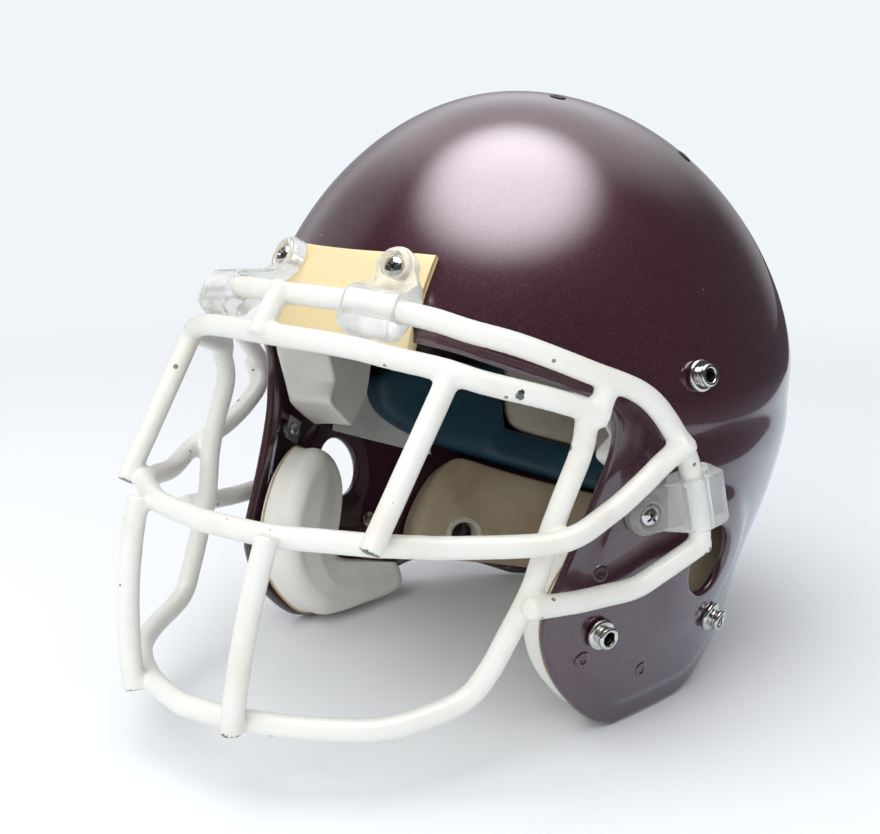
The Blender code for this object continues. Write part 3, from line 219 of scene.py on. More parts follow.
def from_curve(points, closed=False, **settings):
    """Mesh of a curve along these points, with the settings of its bevel or fill."""
    curve = bpy.data.curves.new("curve", "CURVE")
    for key, value in settings.items():
        setattr(curve, key, value)
    run = curve.splines.new("POLY")
    run.points.add(len(points) - 1)
    for spot, point in zip(run.points, points):
        spot.co = (*point, 1.0)
    run.use_cyclic_u = closed
    take(put("curve", curve))
    bpy.ops.object.convert(target="MESH")
    return bpy.context.object


def tube(points, radius, closed=False, resolution=5):
    """Round tube along a curve."""
    return from_curve(points, closed, dimensions="3D", bevel_depth=radius,
                      bevel_resolution=resolution, use_fill_caps=True)


def plate(outline, half_thickness):
    """Flat plate with a closed outline in X and Y."""
    piece = from_curve([(x, y, 0.0) for x, y in outline], True, dimensions="2D", fill_mode="BOTH",
                       extrude=half_thickness)
    edit(piece)
    face_out()
    close_edit()
    return piece


def settle(obj, name, finish, *nodes, fill=None):
    """Put a finished piece's place in its mesh and hand it to the frame."""
    take(obj)
    bpy.ops.object.transform_apply(location=True, rotation=True, scale=True)
    obj.data.transform(Matrix.Translation(HEAD_SHIFT))
    obj.name = obj.data.name = name
    material, slot = FINISHES[finish]
    obj.data.materials.clear()
    obj.data.materials.append(material)
    for polygon in obj.data.polygons:
        polygon.material_index = 0
    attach(obj, "root")
    if nodes:
        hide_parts(*nodes)


def copy_at(obj, matrix):
    """Copy a piece to another place, with its own mesh."""
    take(obj)
    bpy.ops.object.duplicate()
    return moved(bpy.context.object, matrix)


def mirror_twin(obj):
    """Copy a piece to the wearer's right."""
    twin = copy_at(obj, Matrix.Scale(-1, 4, Vector((1, 0, 0))))
    edit(twin)
    bpy.ops.mesh.flip_normals()
    close_edit()
    return twin


def settle_pair(obj, name, finish, *nodes, fill=None):
    """Settle a left piece and its mirror twin."""
    for piece, side in ((obj, "left"), (mirror_twin(obj), "right")):
        settle(piece, f"{name}_{side}", finish, *(f"{node}_{side}" for node in nodes), fill=fill)


# Curves and the shell's surface


def ease(low, high, value):
    """Smooth step from 0 to 1 between two values."""
    t = min(max((value - low) / (high - low), 0.0), 1.0)
    return t * t * (3 - 2 * t)


def spline(points, steps=12):
    """Read a smooth curve through the points."""
    padded = [2 * points[0] - points[1], *points, 2 * points[-1] - points[-2]]
    curve = []
    for a, b, c, d in zip(padded, padded[1:], padded[2:], padded[3:]):
        for step in range(steps):
            t = step / steps
            curve.append(
                0.5 * (2 * b + (c - a) * t + (2 * a - 5 * b + 4 * c - d) * t**2
                       + (3 * b - a - 3 * c + d) * t**3)
            )
    return [*curve, points[-1]]


def closed_spline(points, steps=10):
    """Read a smooth closed curve through the points."""
    curve = spline([points[-1], *points, points[0], points[1]], steps)
    return curve[steps:steps * (len(points) + 1)]


def toward(start, end):
    """Direction from one point to another."""
    return (end - start).normalized()


def mirrored(points):
    """The same points on the wearer's other side."""
    return [Vector((-p.x, p.y, p.z)) for p in points]


def oval(half_width, half_height, count):
    """Points round an oval."""
    angles = [2 * math.pi * k / count for k in range(count)]
    return [Vector((half_width * math.cos(a), half_height * math.sin(a))) for a in angles]


def sphere_angles(point):
    """Angle from the pole and turn of a point on a unit sphere."""
    return math.acos(max(-1.0, min(1.0, point.z))), math.atan2(point.y, point.x)


def tree_of(points):
    """Tree that finds the nearest of these points."""
    tree = kdtree.KDTree(len(points))
    for i, point in enumerate(points):
        tree.insert(point.to_3d(), i)
    tree.balance()
    return tree


def resample(curve, step):
    """Space a curve's points evenly."""
    marks = [0.0]
    for a, b in zip(curve, curve[1:]):
        marks.append(marks[-1] + (b - a).length)
    count = max(2, round(marks[-1] / step))
    out, k = [], 0
    for i in range(count + 1):
        at = marks[-1] * i / count
        while k < len(marks) - 2 and marks[k + 1] < at:
            k += 1
        span = marks[k + 1] - marks[k]
        out.append(curve[k].lerp(curve[k + 1], (at - marks[k]) / span if span else 0.0))
    return out


def section_share(shares, depth):
    """Blend a row of section shares smoothly at a depth share."""
    depth = min(max(depth, 0.0), 1.0)
    knots, last = SECTION_DEPTHS, len(SECTION_DEPTHS) - 1
    k = max(i for i in range(last) if depth >= knots[i])
    slopes = [0.0]
    for i in range(1, last + 1):
        ahead = min(i + 1, last)
        slopes.append((shares[ahead] - shares[i - 1]) / (knots[ahead] - knots[i - 1]))
    slopes[last] = (shares[last] - shares[last - 1]) / (knots[last] - knots[last - 1])
    span = knots[k + 1] - knots[k]
    t = (depth - knots[k]) / span
    return ((2 * t**3 - 3 * t**2 + 1) * shares[k] + (t**3 - 2 * t**2 + t) * span * slopes[k]
            + (3 * t**2 - 2 * t**3) * shares[k + 1] + (t**3 - t**2) * span * slopes[k + 1])


def section_at(level):
    """Height, half width, rear and front length and shift back of the section at a level.

    Level 0 is the crown, a quarter turn is the widest section and a half turn is the floor.
    """
    quarter = math.pi / 2
    if level <= quarter:
        scale = math.sin(level)
        height = WIDEST_HEIGHT + CROWN_RISE * max(math.cos(level), 0.0) ** CROWN_POWER
        return (height, SHELL_HALF_WIDTH * scale, SHELL_REAR_LENGTH * scale,
                SHELL_FRONT_LENGTH * scale, 0.0)
    depth = (level - quarter) / quarter
    return (WIDEST_HEIGHT * (1.0 - depth),
            SHELL_HALF_WIDTH * section_share(SECTION_WIDTHS, depth),
            SHELL_REAR_LENGTH * section_share(SECTION_REARS, depth),
            SHELL_FRONT_LENGTH * section_share(SECTION_FRONTS, depth),
            SHELL_HALF_WIDTH * section_share(SECTION_SHIFTS, depth))


def surface(turn, level):
    """Point of the shell's outer surface. Turn 0 is the wearer's left and -90 degrees the front."""
    height, half_width, rear, front, shift = section_at(level)
    length = rear if math.sin(turn) > 0.0 else front
    x, y = half_width * math.cos(turn), shift + length * math.sin(turn)
    from_ear = math.hypot((y - EAR_HOLE.x) / EAR_BULGE_LENGTH,
                          (height - EAR_HOLE.y) / EAR_BULGE_HEIGHT)
    if from_ear < 1.0:
        swell = 0.5 + 0.5 * math.cos(math.pi * from_ear)
        x += math.copysign(EAR_BULGE * swell * min(1.0, abs(x) / SHELL_HALF_WIDTH), x)
    return Vector((x, y, height))


def place(turn, level, offset=0.0):
    """Point at an offset from the outer surface, and the outward normal there."""
    small = 0.011
    level = max(level, small)
    here = surface(turn, level)
    along = surface(turn + small, level) - surface(turn - small, level)
    down = surface(turn, level + small) - surface(turn, level - small)
    normal = down.cross(along).normalized()
    return here + normal * offset, normal


def level_at(height):
    """Level of the section at a height."""
    quarter = math.pi / 2
    if height >= WIDEST_HEIGHT:
        return math.acos(min((height - WIDEST_HEIGHT) / CROWN_RISE, 1.0) ** (1.0 / CROWN_POWER))
    return quarter + quarter * (WIDEST_HEIGHT - height) / WIDEST_HEIGHT


def turn_beside(back, height):
    """Turn of the side point that lies this far behind the section centre."""
    _, _, rear, front, shift = section_at(level_at(height))
    away = back - shift
    return math.asin(max(-1.0, min(1.0, away / (rear if away > 0.0 else front))))


def turn_before(across, height):
    """Turn of the front point that lies this far across."""
    return -math.acos(max(-1.0, min(1.0, across / section_at(level_at(height))[1])))


def angles_above(across, back):
    """Turn and level of the crown point that lies this far across and back."""
    x = across / SHELL_HALF_WIDTH
    y = back / (SHELL_REAR_LENGTH if back > 0.0 else SHELL_FRONT_LENGTH)
    return math.atan2(y, x), math.asin(min(1.0, math.hypot(x, y)))


def angles_of(point):
    """Turn and level of a point on or near the surface."""
    level = level_at(point.z)
    _, half_width, rear, front, shift = section_at(level)
    away = point.y - shift
    length = max(rear if away > 0.0 else front, 1e-6)
    return math.atan2(away / length, point.x / max(half_width, 1e-6)), level


def edge_points():
    """The shell's side outline in Y and Z, from the brow down the opening to the nape."""
    edge = BROW_EDGE[:-1] + OPENING_EDGE
    front = [Vector((-f * SHELL_FRONT_LENGTH, h * WIDEST_HEIGHT)) for f, h in edge]
    rear = [Vector((b * SHELL_REAR_LENGTH, h * WIDEST_HEIGHT)) for b, h in NAPE_EDGE]
    return spline(front, 6), spline(rear, 6)


def brow_height(back):
    """Height of the brow edge at a place in front of the section centre."""
    edge = sorted((p for p in edge_points()[0] if p.y > WIDEST_HEIGHT), key=lambda p: p.x)
    for a, b in zip(edge, edge[1:]):
        if a.x <= back <= b.x:
            return a.y + (b.y - a.y) * (back - a.x) / (b.x - a.x)
    return edge[0].y if back < edge[0].x else edge[-1].y


# Shell

PANEL_RISE = 0.0017
PANEL_MARGIN = (0.0060, 0.0100)
PANEL_TOP = (0.098, 0.117)
EAR_ROLL = 0.0016
EAR_ROLL_REACH = (0.033, 0.021)
BROW_BEAD = 0.0008
BROW_BEAD_WIDTH = (0.0034, 0.0052)
EDGE_RADIUS = SHELL_WALL / 2
EDGE_STEP = 0.0014
CUT_LEAD = 0.03
CUT_RUN_OUT = 0.1
CUT_REAR = 0.17
CUT_TOP = 0.27
CUT_HALF_WIDTH = 0.16
SIDE_START = 0.05
SHELL_SEGMENTS = 264
SHELL_RINGS = 150
EAR_HOLE_POINTS = 72
SHORTEST_LOOP = 12
CUT_WELD = 0.00008
NEAR_FLOOR = 0.01


def cut_outline():
    """Closed side outline that leaves room for the rounded edge, in Y and Z."""
    edge, nape = edge_points()
    lead = edge[0] + toward(edge[1], edge[0]) * CUT_LEAD
    run = [lead, *edge, *nape, Vector((nape[-1].x + CUT_RUN_OUT, 0.0))]
    inner = []
    for before, here, after in zip(run, run[1:], run[2:]):
        way = toward(before, after)
        point = here - Vector((way.y, -way.x)) * EDGE_RADIUS
        inner.append(Vector((point.x, max(point.y, EDGE_RADIUS))))
    first = inner[0] + toward(inner[1], inner[0]) * CUT_LEAD
    return [first, *inner, Vector((CUT_REAR, EDGE_RADIUS)), Vector((CUT_REAR, CUT_TOP)),
            Vector((first.x, CUT_TOP))]


def inside(outline, point):
    """Whether a side point lies inside a closed outline."""
    hit = False
    for a, b in zip(outline, outline[1:] + outline[:1]):
        if (a.y > point.y) != (b.y > point.y):
            if point.x < a.x + (b.x - a.x) * (point.y - a.y) / (b.y - a.y):
                hit = not hit
    return hit


def sheet_through(outline):
    """Sheet that runs across the helmet along a closed side outline."""
    bpy.ops.mesh.primitive_circle_add(vertices=len(outline), radius=1.0)
    sheet = bpy.context.object
    for vert, point in zip(sheet.data.vertices, outline):
        vert.co = (-CUT_HALF_WIDTH, point.x, point.y)
    edit(sheet, kind="EDGE")
    across = (2 * CUT_HALF_WIDTH, 0.0, 0.0)
    bpy.ops.mesh.extrude_region_move(TRANSFORM_OT_translate={"value": across})
    close_edit()
    return sheet


def smooth_loop(loop):
    """Even a closed loop's points out."""
    points = resample([*loop, loop[0]], EDGE_STEP)[:-1]
    for _ in range(3):
        points = [points[i - 1] * 0.25 + points[i] * 0.5 + points[(i + 1) % len(points)] * 0.25
                  for i in range(len(points))]
    return points


def boundary_loops(obj):
    """Closed loops of a piece's open edges, as lists of points, the shortest first."""
    work = bmesh.new()
    work.from_mesh(obj.data)
    links = {}
    for edge in work.edges:
        if len(edge.link_faces) == 1:
            a, b = edge.verts
            links.setdefault(a, []).append(b)
            links.setdefault(b, []).append(a)
    loops, seen = [], set()
    for start in links:
        loop, here = [], None if start in seen else start
        while here is not None:
            seen.add(here)
            loop.append(here.co.copy())
            here = next((v for v in links[here] if v not in seen), None)
        if len(loop) > SHORTEST_LOOP:
            loops.append(smooth_loop(loop))
    work.free()
    return sorted(loops, key=len)


class Relief:
    """Height of the moulded panel, ear roll and brow bead above the shell's plain surface."""

    def __init__(self, loop):
        self.tree = tree_of(loop)

    def at(self, point):
        away = self.tree.find(point)[2]
        low = 1.0 - ease(*PANEL_TOP, point.z)
        panel = PANEL_RISE * ease(*PANEL_MARGIN, away)
        from_ear = (Vector((point.y, point.z)) - EAR_HOLE).length
        beside_head = abs(point.x) > SIDE_START
        roll = EAR_ROLL * ease(*EAR_ROLL_REACH, from_ear) if beside_head else 0.0
        bead = BROW_BEAD * (1.0 - ease(*BROW_BEAD_WIDTH, away))
        return (panel + roll) * low + bead * (1.0 - low)


def whole_skin():
    """A sphere moved onto the helmet's surface, and opened at its foot, which is cut off later."""
    shell = unit_sphere(SHELL_SEGMENTS, SHELL_RINGS)
    quarter = math.pi / 2
    last_ring = math.pi * (SHELL_RINGS - 1) / SHELL_RINGS
    for vert in shell.data.vertices:
        level, turn = sphere_angles(vert.co)
        if level > quarter:
            level = quarter + quarter * (level - quarter) / (last_ring - quarter)
        vert.co = surface(turn, min(level, math.pi))
    work = bmesh.new()
    work.from_mesh(shell.data)
    foot = min((vert for vert in work.verts if vert.co.z < NEAR_FLOOR), key=lambda v: v.co.xy.length)
    bmesh.ops.delete(work, geom=[foot], context="VERTS")
    work.to_mesh(shell.data)
    work.free()
    return shell


def cut_openings(shell):
    """Cut the skin along its side outline and the ear holes."""
    outline = cut_outline()
    ring = oval(EAR_HOLE_HALF.x + EDGE_RADIUS, EAR_HOLE_HALF.y + EDGE_RADIUS, EAR_HOLE_POINTS)
    ear = [EAR_HOLE + point for point in ring]
    shell.data.materials.append(bpy.data.materials.new("skin"))
    sheets = [sheet_through(outline), sheet_through(ear)]
    cutter = bpy.data.materials.new("cutter")
    for sheet in sheets:
        sheet.data.materials.append(cutter)
    shell = join([shell, *sheets])

    def beyond(face):
        centre = face.calc_center_median()
        side = Vector((centre.y, centre.z))
        gone = face.material_index == 1 or not inside(outline, side)
        return gone or (abs(centre.x) > SIDE_START and inside(ear, side))

    edit(shell, "DESELECT")
    pick(shell, "faces", lambda face: face.material_index == 0)
    bpy.ops.mesh.intersect(mode="SELECT_UNSELECT", separate_mode="CUT", solver="EXACT")
    bpy.ops.mesh.select_all(action="DESELECT")
    pick(shell, "faces", beyond)
    bpy.ops.mesh.delete(type="FACE")
    bpy.ops.mesh.select_all(action="SELECT")
    bpy.ops.mesh.remove_doubles(threshold=CUT_WELD)
    close_edit()
    return shell


def build_shell():
    """Moulded shell with its relief, wall and rounded edges."""
    shell = cut_openings(whole_skin())
    loops = boundary_loops(shell)
    relief = Relief(loops[-1])
    for vert in shell.data.vertices:
        vert.co += place(*angles_of(vert.co))[1] * relief.at(vert.co)
    modify(shell, "SOLIDIFY", thickness=SHELL_WALL, offset=-1.0, use_even_offset=True)
    edges = []
    for loop in loops:
        middle = [point + place(*angles_of(point))[1] * (relief.at(point) - EDGE_RADIUS)
                  for point in loop]
        edges.append(tube(middle, EDGE_RADIUS, closed=True, resolution=4))
    return shade(join([shell, *edges]), 40.0), relief


# Face guard

# Shares of the guard's half width or of the brow wire's height where wires meet.
CHIN_END = 0.875
NOSE_CROSSING = 0.525
NOSE_END = 0.700
LOWER_START = 0.385
LOWER_END = 0.440
UPRIGHT_ENDS = (0.610, 0.550)
CHIN_UPRIGHT_ENDS = (0.295, 0.225)
SIDE_STRUT_ENDS = (0.913, 0.892)
CHIPPED_SHARE = 0.772

CROSSING_LIFT = 2 * WIRE_RADIUS + 0.0004
LOWER_LIFT = 2 * WIRE_RADIUS - 0.0004
WELD_LIFT = 2 * WIRE_RADIUS - 0.0012
NOSE_END_LIFT = 0.0046
NOSE_TIP = 0.0022
WIRE_TIP = 0.0030
CHIN_UPRIGHT_TOP = 0.0016
CHIN_UPRIGHT_BOW = 0.0030
SIDE_STRUT_TIP = 0.0042
MIDDLE_STRUT_LIFTS = (0.0036, 0.0028)
MIDDLE_STRUT_TIPS = (0.0030, 0.0022)
COAT_THICKNESS = 0.0001
COAT_VOXEL = 0.00105
WIRE_STEP = 0.003
CHIP_OFFSET = Vector((0.0, -0.0041, 0.0004))
CHIP_RADIUS = 0.0017

# Wire ends that have lost their coat: how far beyond the end the bare place lies, and its radius.
BARE_ENDS = {"upright": (0.0008, 0.0030), "chin_upright": (0.0010, 0.0034),
             "brow": (0.0005, 0.0034)}


def guard_points(shares):
    """Places of the guard, from shares of its half width, reach and brow wire height."""
    return [Vector((a * GUARD_HALF_WIDTH, -f * GUARD_REACH, h * BROW_WIRE_HEIGHT))
            for a, f, h in shares]


def passing(curve, axis, value, last=False):
    """Point and direction where a wire first or last passes a value on an axis, or else its end."""
    steps = list(zip(curve, curve[1:]))
    for a, b in reversed(steps) if last else steps:
        if a[axis] != b[axis] and min(a[axis], b[axis]) <= value <= max(a[axis], b[axis]):
            return a.lerp(b, (value - a[axis]) / (b[axis] - a[axis])), toward(a, b)
    return curve[-1], toward(curve[-2], curve[-1])


def at_height(curve, share):
    """Point and direction where a side run passes a share of the brow wire's height."""
    return passing(curve, 2, share * BROW_WIRE_HEIGHT, last=True)


def at_across(curve, share):
    """Point and direction where a wire first passes a share of the guard's half width."""
    return passing(curve, 0, share * GUARD_HALF_WIDTH)


def over(point, one, other, lift):
    """Place beside a wire's point where another wire lies on it, away from the face."""
    away = one.cross(other).normalized()
    if away.dot(Vector((point.x, point.y, 0.0))) < 0.0:
        away.negate()
    return point + away * lift


def nose_wire(chin, brow):
    """Half of the nose wire, which passes outside the chin wire and ends on the brow wire."""
    front, side = guard_points(NOSE_WIRE), guard_points(NOSE_WIRE_SIDE)
    at, run = at_height(chin, NOSE_CROSSING)
    crossing = over(at, run, toward(front[-1], side[0]), CROSSING_LIFT)
    at, run = at_height(brow, NOSE_END)
    end = over(at, run, toward(side[-1], at), NOSE_END_LIFT)
    return spline([*front, crossing, *side, end + toward(side[-1], end) * NOSE_TIP])


def lower_side_wire(chin, brow):
    """Wire that starts outside the chin wire and runs back to the brow wire's end."""
    side = guard_points(SIDE_WIRE)
    at, run = at_height(chin, LOWER_START)
    start = over(at, run, toward(at, side[0]), LOWER_LIFT)
    tip = start + toward(side[0], start) * WIRE_TIP
    return spline([tip, start, *side, at_height(brow, LOWER_END)[0]])


def upright(eye, nose):
    """Straight wire from the eye wire's centre line to the outside of the nose wire."""
    top, foot = at_across(eye, UPRIGHT_ENDS[0])[0], at_across(nose, UPRIGHT_ENDS[1])
    end = over(*foot, toward(top, foot[0]), WELD_LIFT)
    return [top, end + toward(top, end) * WIRE_TIP]


def chin_upright(nose, chin):
    """Slightly bowed wire laid over the nose and chin wires."""
    top = at_across(nose, CHIN_UPRIGHT_ENDS[0])
    foot = at_across(chin, CHIN_UPRIGHT_ENDS[1])
    run = toward(top[0], foot[0])
    start, end = over(*top, run, WELD_LIFT), over(*foot, run, WELD_LIFT)
    bow = toward(top[0], start) * CHIN_UPRIGHT_BOW
    start, end = start - run * CHIN_UPRIGHT_TOP, end + run * WIRE_TIP
    return spline([start, *(start.lerp(end, s) + bow * math.sin(math.pi * s)
                            for s in (0.25, 0.5, 0.75)), end])


def middle_strut(top, foot):
    """Short strut laid over the brow and eye wires in the middle."""
    outward = Vector((0.0, -1.0, 0.35)).normalized()
    run = toward(top, foot)
    return [top + outward * MIDDLE_STRUT_LIFTS[0] - run * MIDDLE_STRUT_TIPS[0],
            foot + outward * MIDDLE_STRUT_LIFTS[1] + run * MIDDLE_STRUT_TIPS[1]]


def whole(half):
    """Both halves of a wire that crosses the middle."""
    return mirrored(reversed(half[1:])) + half


def guard_curves():
    """Centre lines of the wires that cross the middle, and of the left one of each pair."""
    brow, eye = spline(guard_points(BROW_WIRE)), spline(guard_points(EYE_WIRE))
    chin = spline([*guard_points(CHIN_WIRE), at_across(eye, CHIN_END)[0]])
    nose = nose_wire(chin, brow)
    wholes = {"brow": whole(brow), "eye": whole(eye), "middle": middle_strut(brow[0], eye[0]),
              "nose": whole(nose), "chin": whole(chin)}
    top, foot = at_across(brow, SIDE_STRUT_ENDS[0])[0], at_across(eye, SIDE_STRUT_ENDS[1])[0]
    pairs = {"lower": lower_side_wire(chin, brow), "upright": upright(eye, nose),
             "chin_upright": chin_upright(nose, chin),
             "strut": [top, foot + toward(top, foot) * SIDE_STRUT_TIP]}
    return wholes, pairs


def bare_places(wholes, pairs):
    """Centres and radii of the places where the coat has chipped off."""
    curves = {**wholes, **pairs}
    marks = []
    for name, (beyond, radius) in BARE_ENDS.items():
        curve = curves[name]
        marks.append((curve[-1] + toward(curve[-2], curve[-1]) * beyond, radius))
    marks += [(mirrored([point])[0], radius * 0.9) for point, radius in marks]
    eye = wholes["eye"]
    return [*marks, (at_across(eye[len(eye) // 2:], CHIPPED_SHARE)[0] + CHIP_OFFSET, CHIP_RADIUS)]


def build_guard(wholes, pairs):
    """Wire face guard, dipped in one coat that runs over its welds."""
    runs = [resample(curve, WIRE_STEP) for curve in wholes.values()]
    for curve in pairs.values():
        run = resample(curve, WIRE_STEP)
        runs += [run, mirrored(run)]
    wires = join([tube(run, WIRE_RADIUS + COAT_THICKNESS) for run in runs])
    guard = melt(wires, COAT_VOXEL, 7)
    marks = bare_places(wholes, pairs)
    bare = guard.data.attributes.new("bare", "FLOAT", "POINT")
    for i, vert in enumerate(guard.data.vertices):
        bare.data[i].value = max(
            1.0 - ease(radius, radius * 1.6, (vert.co - point).length) for point, radius in marks)
    return guard


# Hardware

MM = 0.001
STUD_PLACES = {"upper": (-0.0230, 0.1380), "front": (-0.0620, 0.0440), "rear": (0.0040, 0.0345)}
POST_PLACES = {"upper": (-0.0630, 0.0678), "front": (-0.0686, 0.0347), "rear": (-0.0360, 0.0218)}
PORT_PLACES = {"crown": (0.0215, 0.0007), "rear": (0.0560, 0.0430)}
INNER_SEAT = -SHELL_WALL - 0.0008
SCREW_HEAD_HEIGHT = 2.55 * MM
CROSS_SLOT = (0.0052, 0.00105, 0.0036)
CROSS_TURN = 20.0
CROSS_RISE = 0.0003
NUT_PLATE = (0.0110, 0.0110, 0.0012)

# Painted shade in a recess: the heights between which it lies, and its radius.
STUD_RECESS_SHADE = (0.0015, 0.0030, 0.0027)
SCREW_SHADE_DEPTH = 0.0009
SCREW_SHADE_RADIUS = 0.0026


def in_mm(profile, up=0.0):
    """A profile of radii and heights in millimetres, raised by a height in metres."""
    return [(radius * MM, up + height * MM) for radius, height in profile]


def turned(profile, steps=40):
    """Turned piece about Z, from radius and height pairs. It may start and end on the axis."""
    deselect()
    bpy.ops.mesh.primitive_circle_add(vertices=len(profile), radius=1.0)
    piece = bpy.context.object
    for vert, (radius, height) in zip(piece.data.vertices, profile):
        vert.co = (radius, 0.0, height)
    edit(piece, "DESELECT", "EDGE")
    if profile[0][0] == 0.0:
        pick(piece, "edges", lambda edge: all(vert.co.x == 0.0 for vert in edge.verts))
        bpy.ops.mesh.delete(type="EDGE")
    bpy.ops.mesh.select_all(action="SELECT")
    bpy.ops.mesh.spin(steps=steps, angle=2 * math.pi, center=(0, 0, 0), axis=(0, 0, 1))
    face_out(0.00001)
    close_edit()
    return shade(piece, 35.0)


def cut_with(piece, tool, operation="DIFFERENCE"):
    """Cut a piece with a tool, or keep what lies inside it, and remove the tool."""
    modify(piece, "BOOLEAN", operation=operation, solver="EXACT", object=tool)
    bpy.data.objects.remove(tool, do_unlink=True)


def block(size, height, turn):
    """Block centred at a height on Z."""
    deselect()
    bpy.ops.mesh.primitive_cube_add(size=1.0, location=(0.0, 0.0, height),
                                    rotation=(0.0, 0.0, turn))
    bpy.context.object.scale = size
    bpy.ops.object.transform_apply(location=True, rotation=True, scale=True)
    return bpy.context.object


def seat(turn, level, offset=0.0):
    """Matrix on the shell: Z outward, X level round the shell and Y down it."""
    point, normal = place(turn, level, offset)
    side = Vector((0, 0, -1)).cross(normal).normalized()
    axes = Matrix((side, normal.cross(side), normal)).transposed().to_4x4()
    return Matrix.Translation(point) @ axes


def paint_recess_shade(piece, low, high, radius):
    """Mark the points near a piece's axis between two heights, to be painted dark as shade in its
    recess.
    """
    recess_shade = piece.data.attributes.new("recess_shade", "FLOAT", "POINT")
    for mark, vert in zip(recess_shade.data, piece.data.vertices):
        mark.value = 1.0 if low < vert.co.z < high and vert.co.xy.length < radius else 0.0


def strap_stud():
    """Two-tier hollow chin-strap stud with rolled rims."""
    stud = turned(in_mm([
        (0, 1.6), (1.2, 1.6), (1.9, 1.8), (2.4, 2.2), (2.6, 2.8), (2.6, 4.4), (2.6, 6.1),
        (2.75, 6.5), (3.1, 6.75), (3.5, 6.8), (3.95, 6.65), (4.3, 6.3), (4.4, 5.8), (4.3, 5.3),
        (3.95, 4.95), (3.65, 4.7), (3.5, 4.3), (3.5, 3.5), (3.65, 3.15), (4.2, 2.95), (5.1, 2.85),
        (5.7, 2.65), (6.05, 2.25), (6.15, 1.7), (6.0, 1.1), (5.6, 0.65), (5.2, 0.4), (2.4, 0.3),
        (2.4, -4.8), (3.6, -4.8), (3.8, -5.0), (3.7, -5.4), (2.9, -5.7), (0, -5.8)]), 44)
    # The stud's hollow is painted dark as shade.
    paint_recess_shade(stud, *STUD_RECESS_SHADE)
    return stud


def pan_screw(head):
    """Pan-head screw with a cross recess, seated at a height."""
    profile = in_mm([(0, 2.55), (0.9, 2.52), (1.8, 2.4), (2.7, 2.1), (3.4, 1.65), (3.9, 1.1),
                     (4.15, 0.55), (4.15, 0.1), (4.0, 0.0), (1.8, 0.0)], head)
    screw = turned(profile + in_mm([(1.8, -5.0), (1.0, -5.6), (0.0, -5.6)]))
    top = head + SCREW_HEAD_HEIGHT
    for degrees in (CROSS_TURN, CROSS_TURN + 90.0):
        cut_with(screw, block(CROSS_SLOT, top + CROSS_RISE, math.radians(degrees)))
    cut_with(screw, turned([(0.0, top - 0.0020), (0.0011, top - 0.0004), (0.0016, top + 0.001),
                            (0.0, top + 0.001)], 16))
    # The bottom of the cross recess is painted dark as shade.
    paint_recess_shade(screw, head, top - SCREW_SHADE_DEPTH, SCREW_SHADE_RADIUS)
    return shade(screw, 30.0)


def tee_nut():
    """Square tee nut plate with rounded edges, a raised boss and the end of its barrel."""
    base = block(NUT_PLATE, INNER_SEAT - NUT_PLATE[2] / 2, math.pi / 4)
    modify(base, "BEVEL", width=0.0003, segments=2)
    boss = turned(in_mm([(0.0, -1.0), (1.4, -1.0), (1.5, -2.1), (1.9, -2.4), (2.7, -2.1),
                         (3.3, -1.2)], INNER_SEAT) + in_mm([(3.3, -0.3), (0.0, -0.3)]), 28)
    return join([base, boss])


def post_rivet():
    """Small rivet head of a pad post and its snap disc inside."""
    head = in_mm([(0, -0.15), (0.6, -0.1), (0.85, 0.05), (1.0, -0.2), (1.3, -0.25), (1.6, 0.15),
                  (2.0, 0.5), (2.4, 0.55), (2.9, 0.35), (3.3, 0.0), (3.4, -0.4), (1.5, -0.6)])
    disc = in_mm([(1.5, 0.0), (4.7, 0.0), (4.8, -0.4), (4.3, -1.0), (0, -1.1)], INNER_SEAT)
    return turned(head + disc, 32)


def needle_port():
    """Valve port: a rim outside with a deep needle hole."""
    return turned(in_mm([
        (0, -2.5), (1.1, -2.4), (1.2, 0.2), (1.5, 0.45), (2.2, 0.55), (2.9, 0.45), (3.3, 0.3),
        (3.4, 0.1), (2.9, 0.05), (2.9, -4.8), (4.4, -4.9), (4.4, -5.6), (0, -5.6)]), 32)


# Clips

CLIP_THICKNESS = 0.0045
CLIP_HALF_WIDTH = 0.0106
CLIP_NOSE_RADIUS = 0.0082
CLIP_SKIRT = 0.0050
CLIP_RING_WALL = 0.0022
CLIP_BORE = WIRE_RADIUS + 0.00035
CLIP_RING = CLIP_BORE + CLIP_RING_WALL
CLIP_SLIT = 0.0003
CLIP_CORNER = 0.0035
CLIP_VOXEL = 0.00042

CLIP_SCREW_LIFT = 0.0001

# How far across the top screw lies and how far back the side screw, each with its height.
TOP_SCREW = (0.0270, 0.1746)
SIDE_SCREW = (-0.0465, 0.0890)

# Turn and level of each left clip's screw, the clip's rise off the shell, its boss and its lean.
CLIPS = {
    "top_clip": (turn_before(*TOP_SCREW), level_at(TOP_SCREW[1]), 0.0060, 0.0022, 0.0062),
    "side_clip": (turn_beside(*SIDE_SCREW), level_at(SIDE_SCREW[1]), 0.0007, 0.0016, 0.0),
}


def arc(centre, radius, start, end, count=28):
    """Points on an arc."""
    angles = [start + (end - start) * k / count for k in range(count + 1)]
    return [centre + radius * Vector((math.cos(a), math.sin(a))) for a in angles]


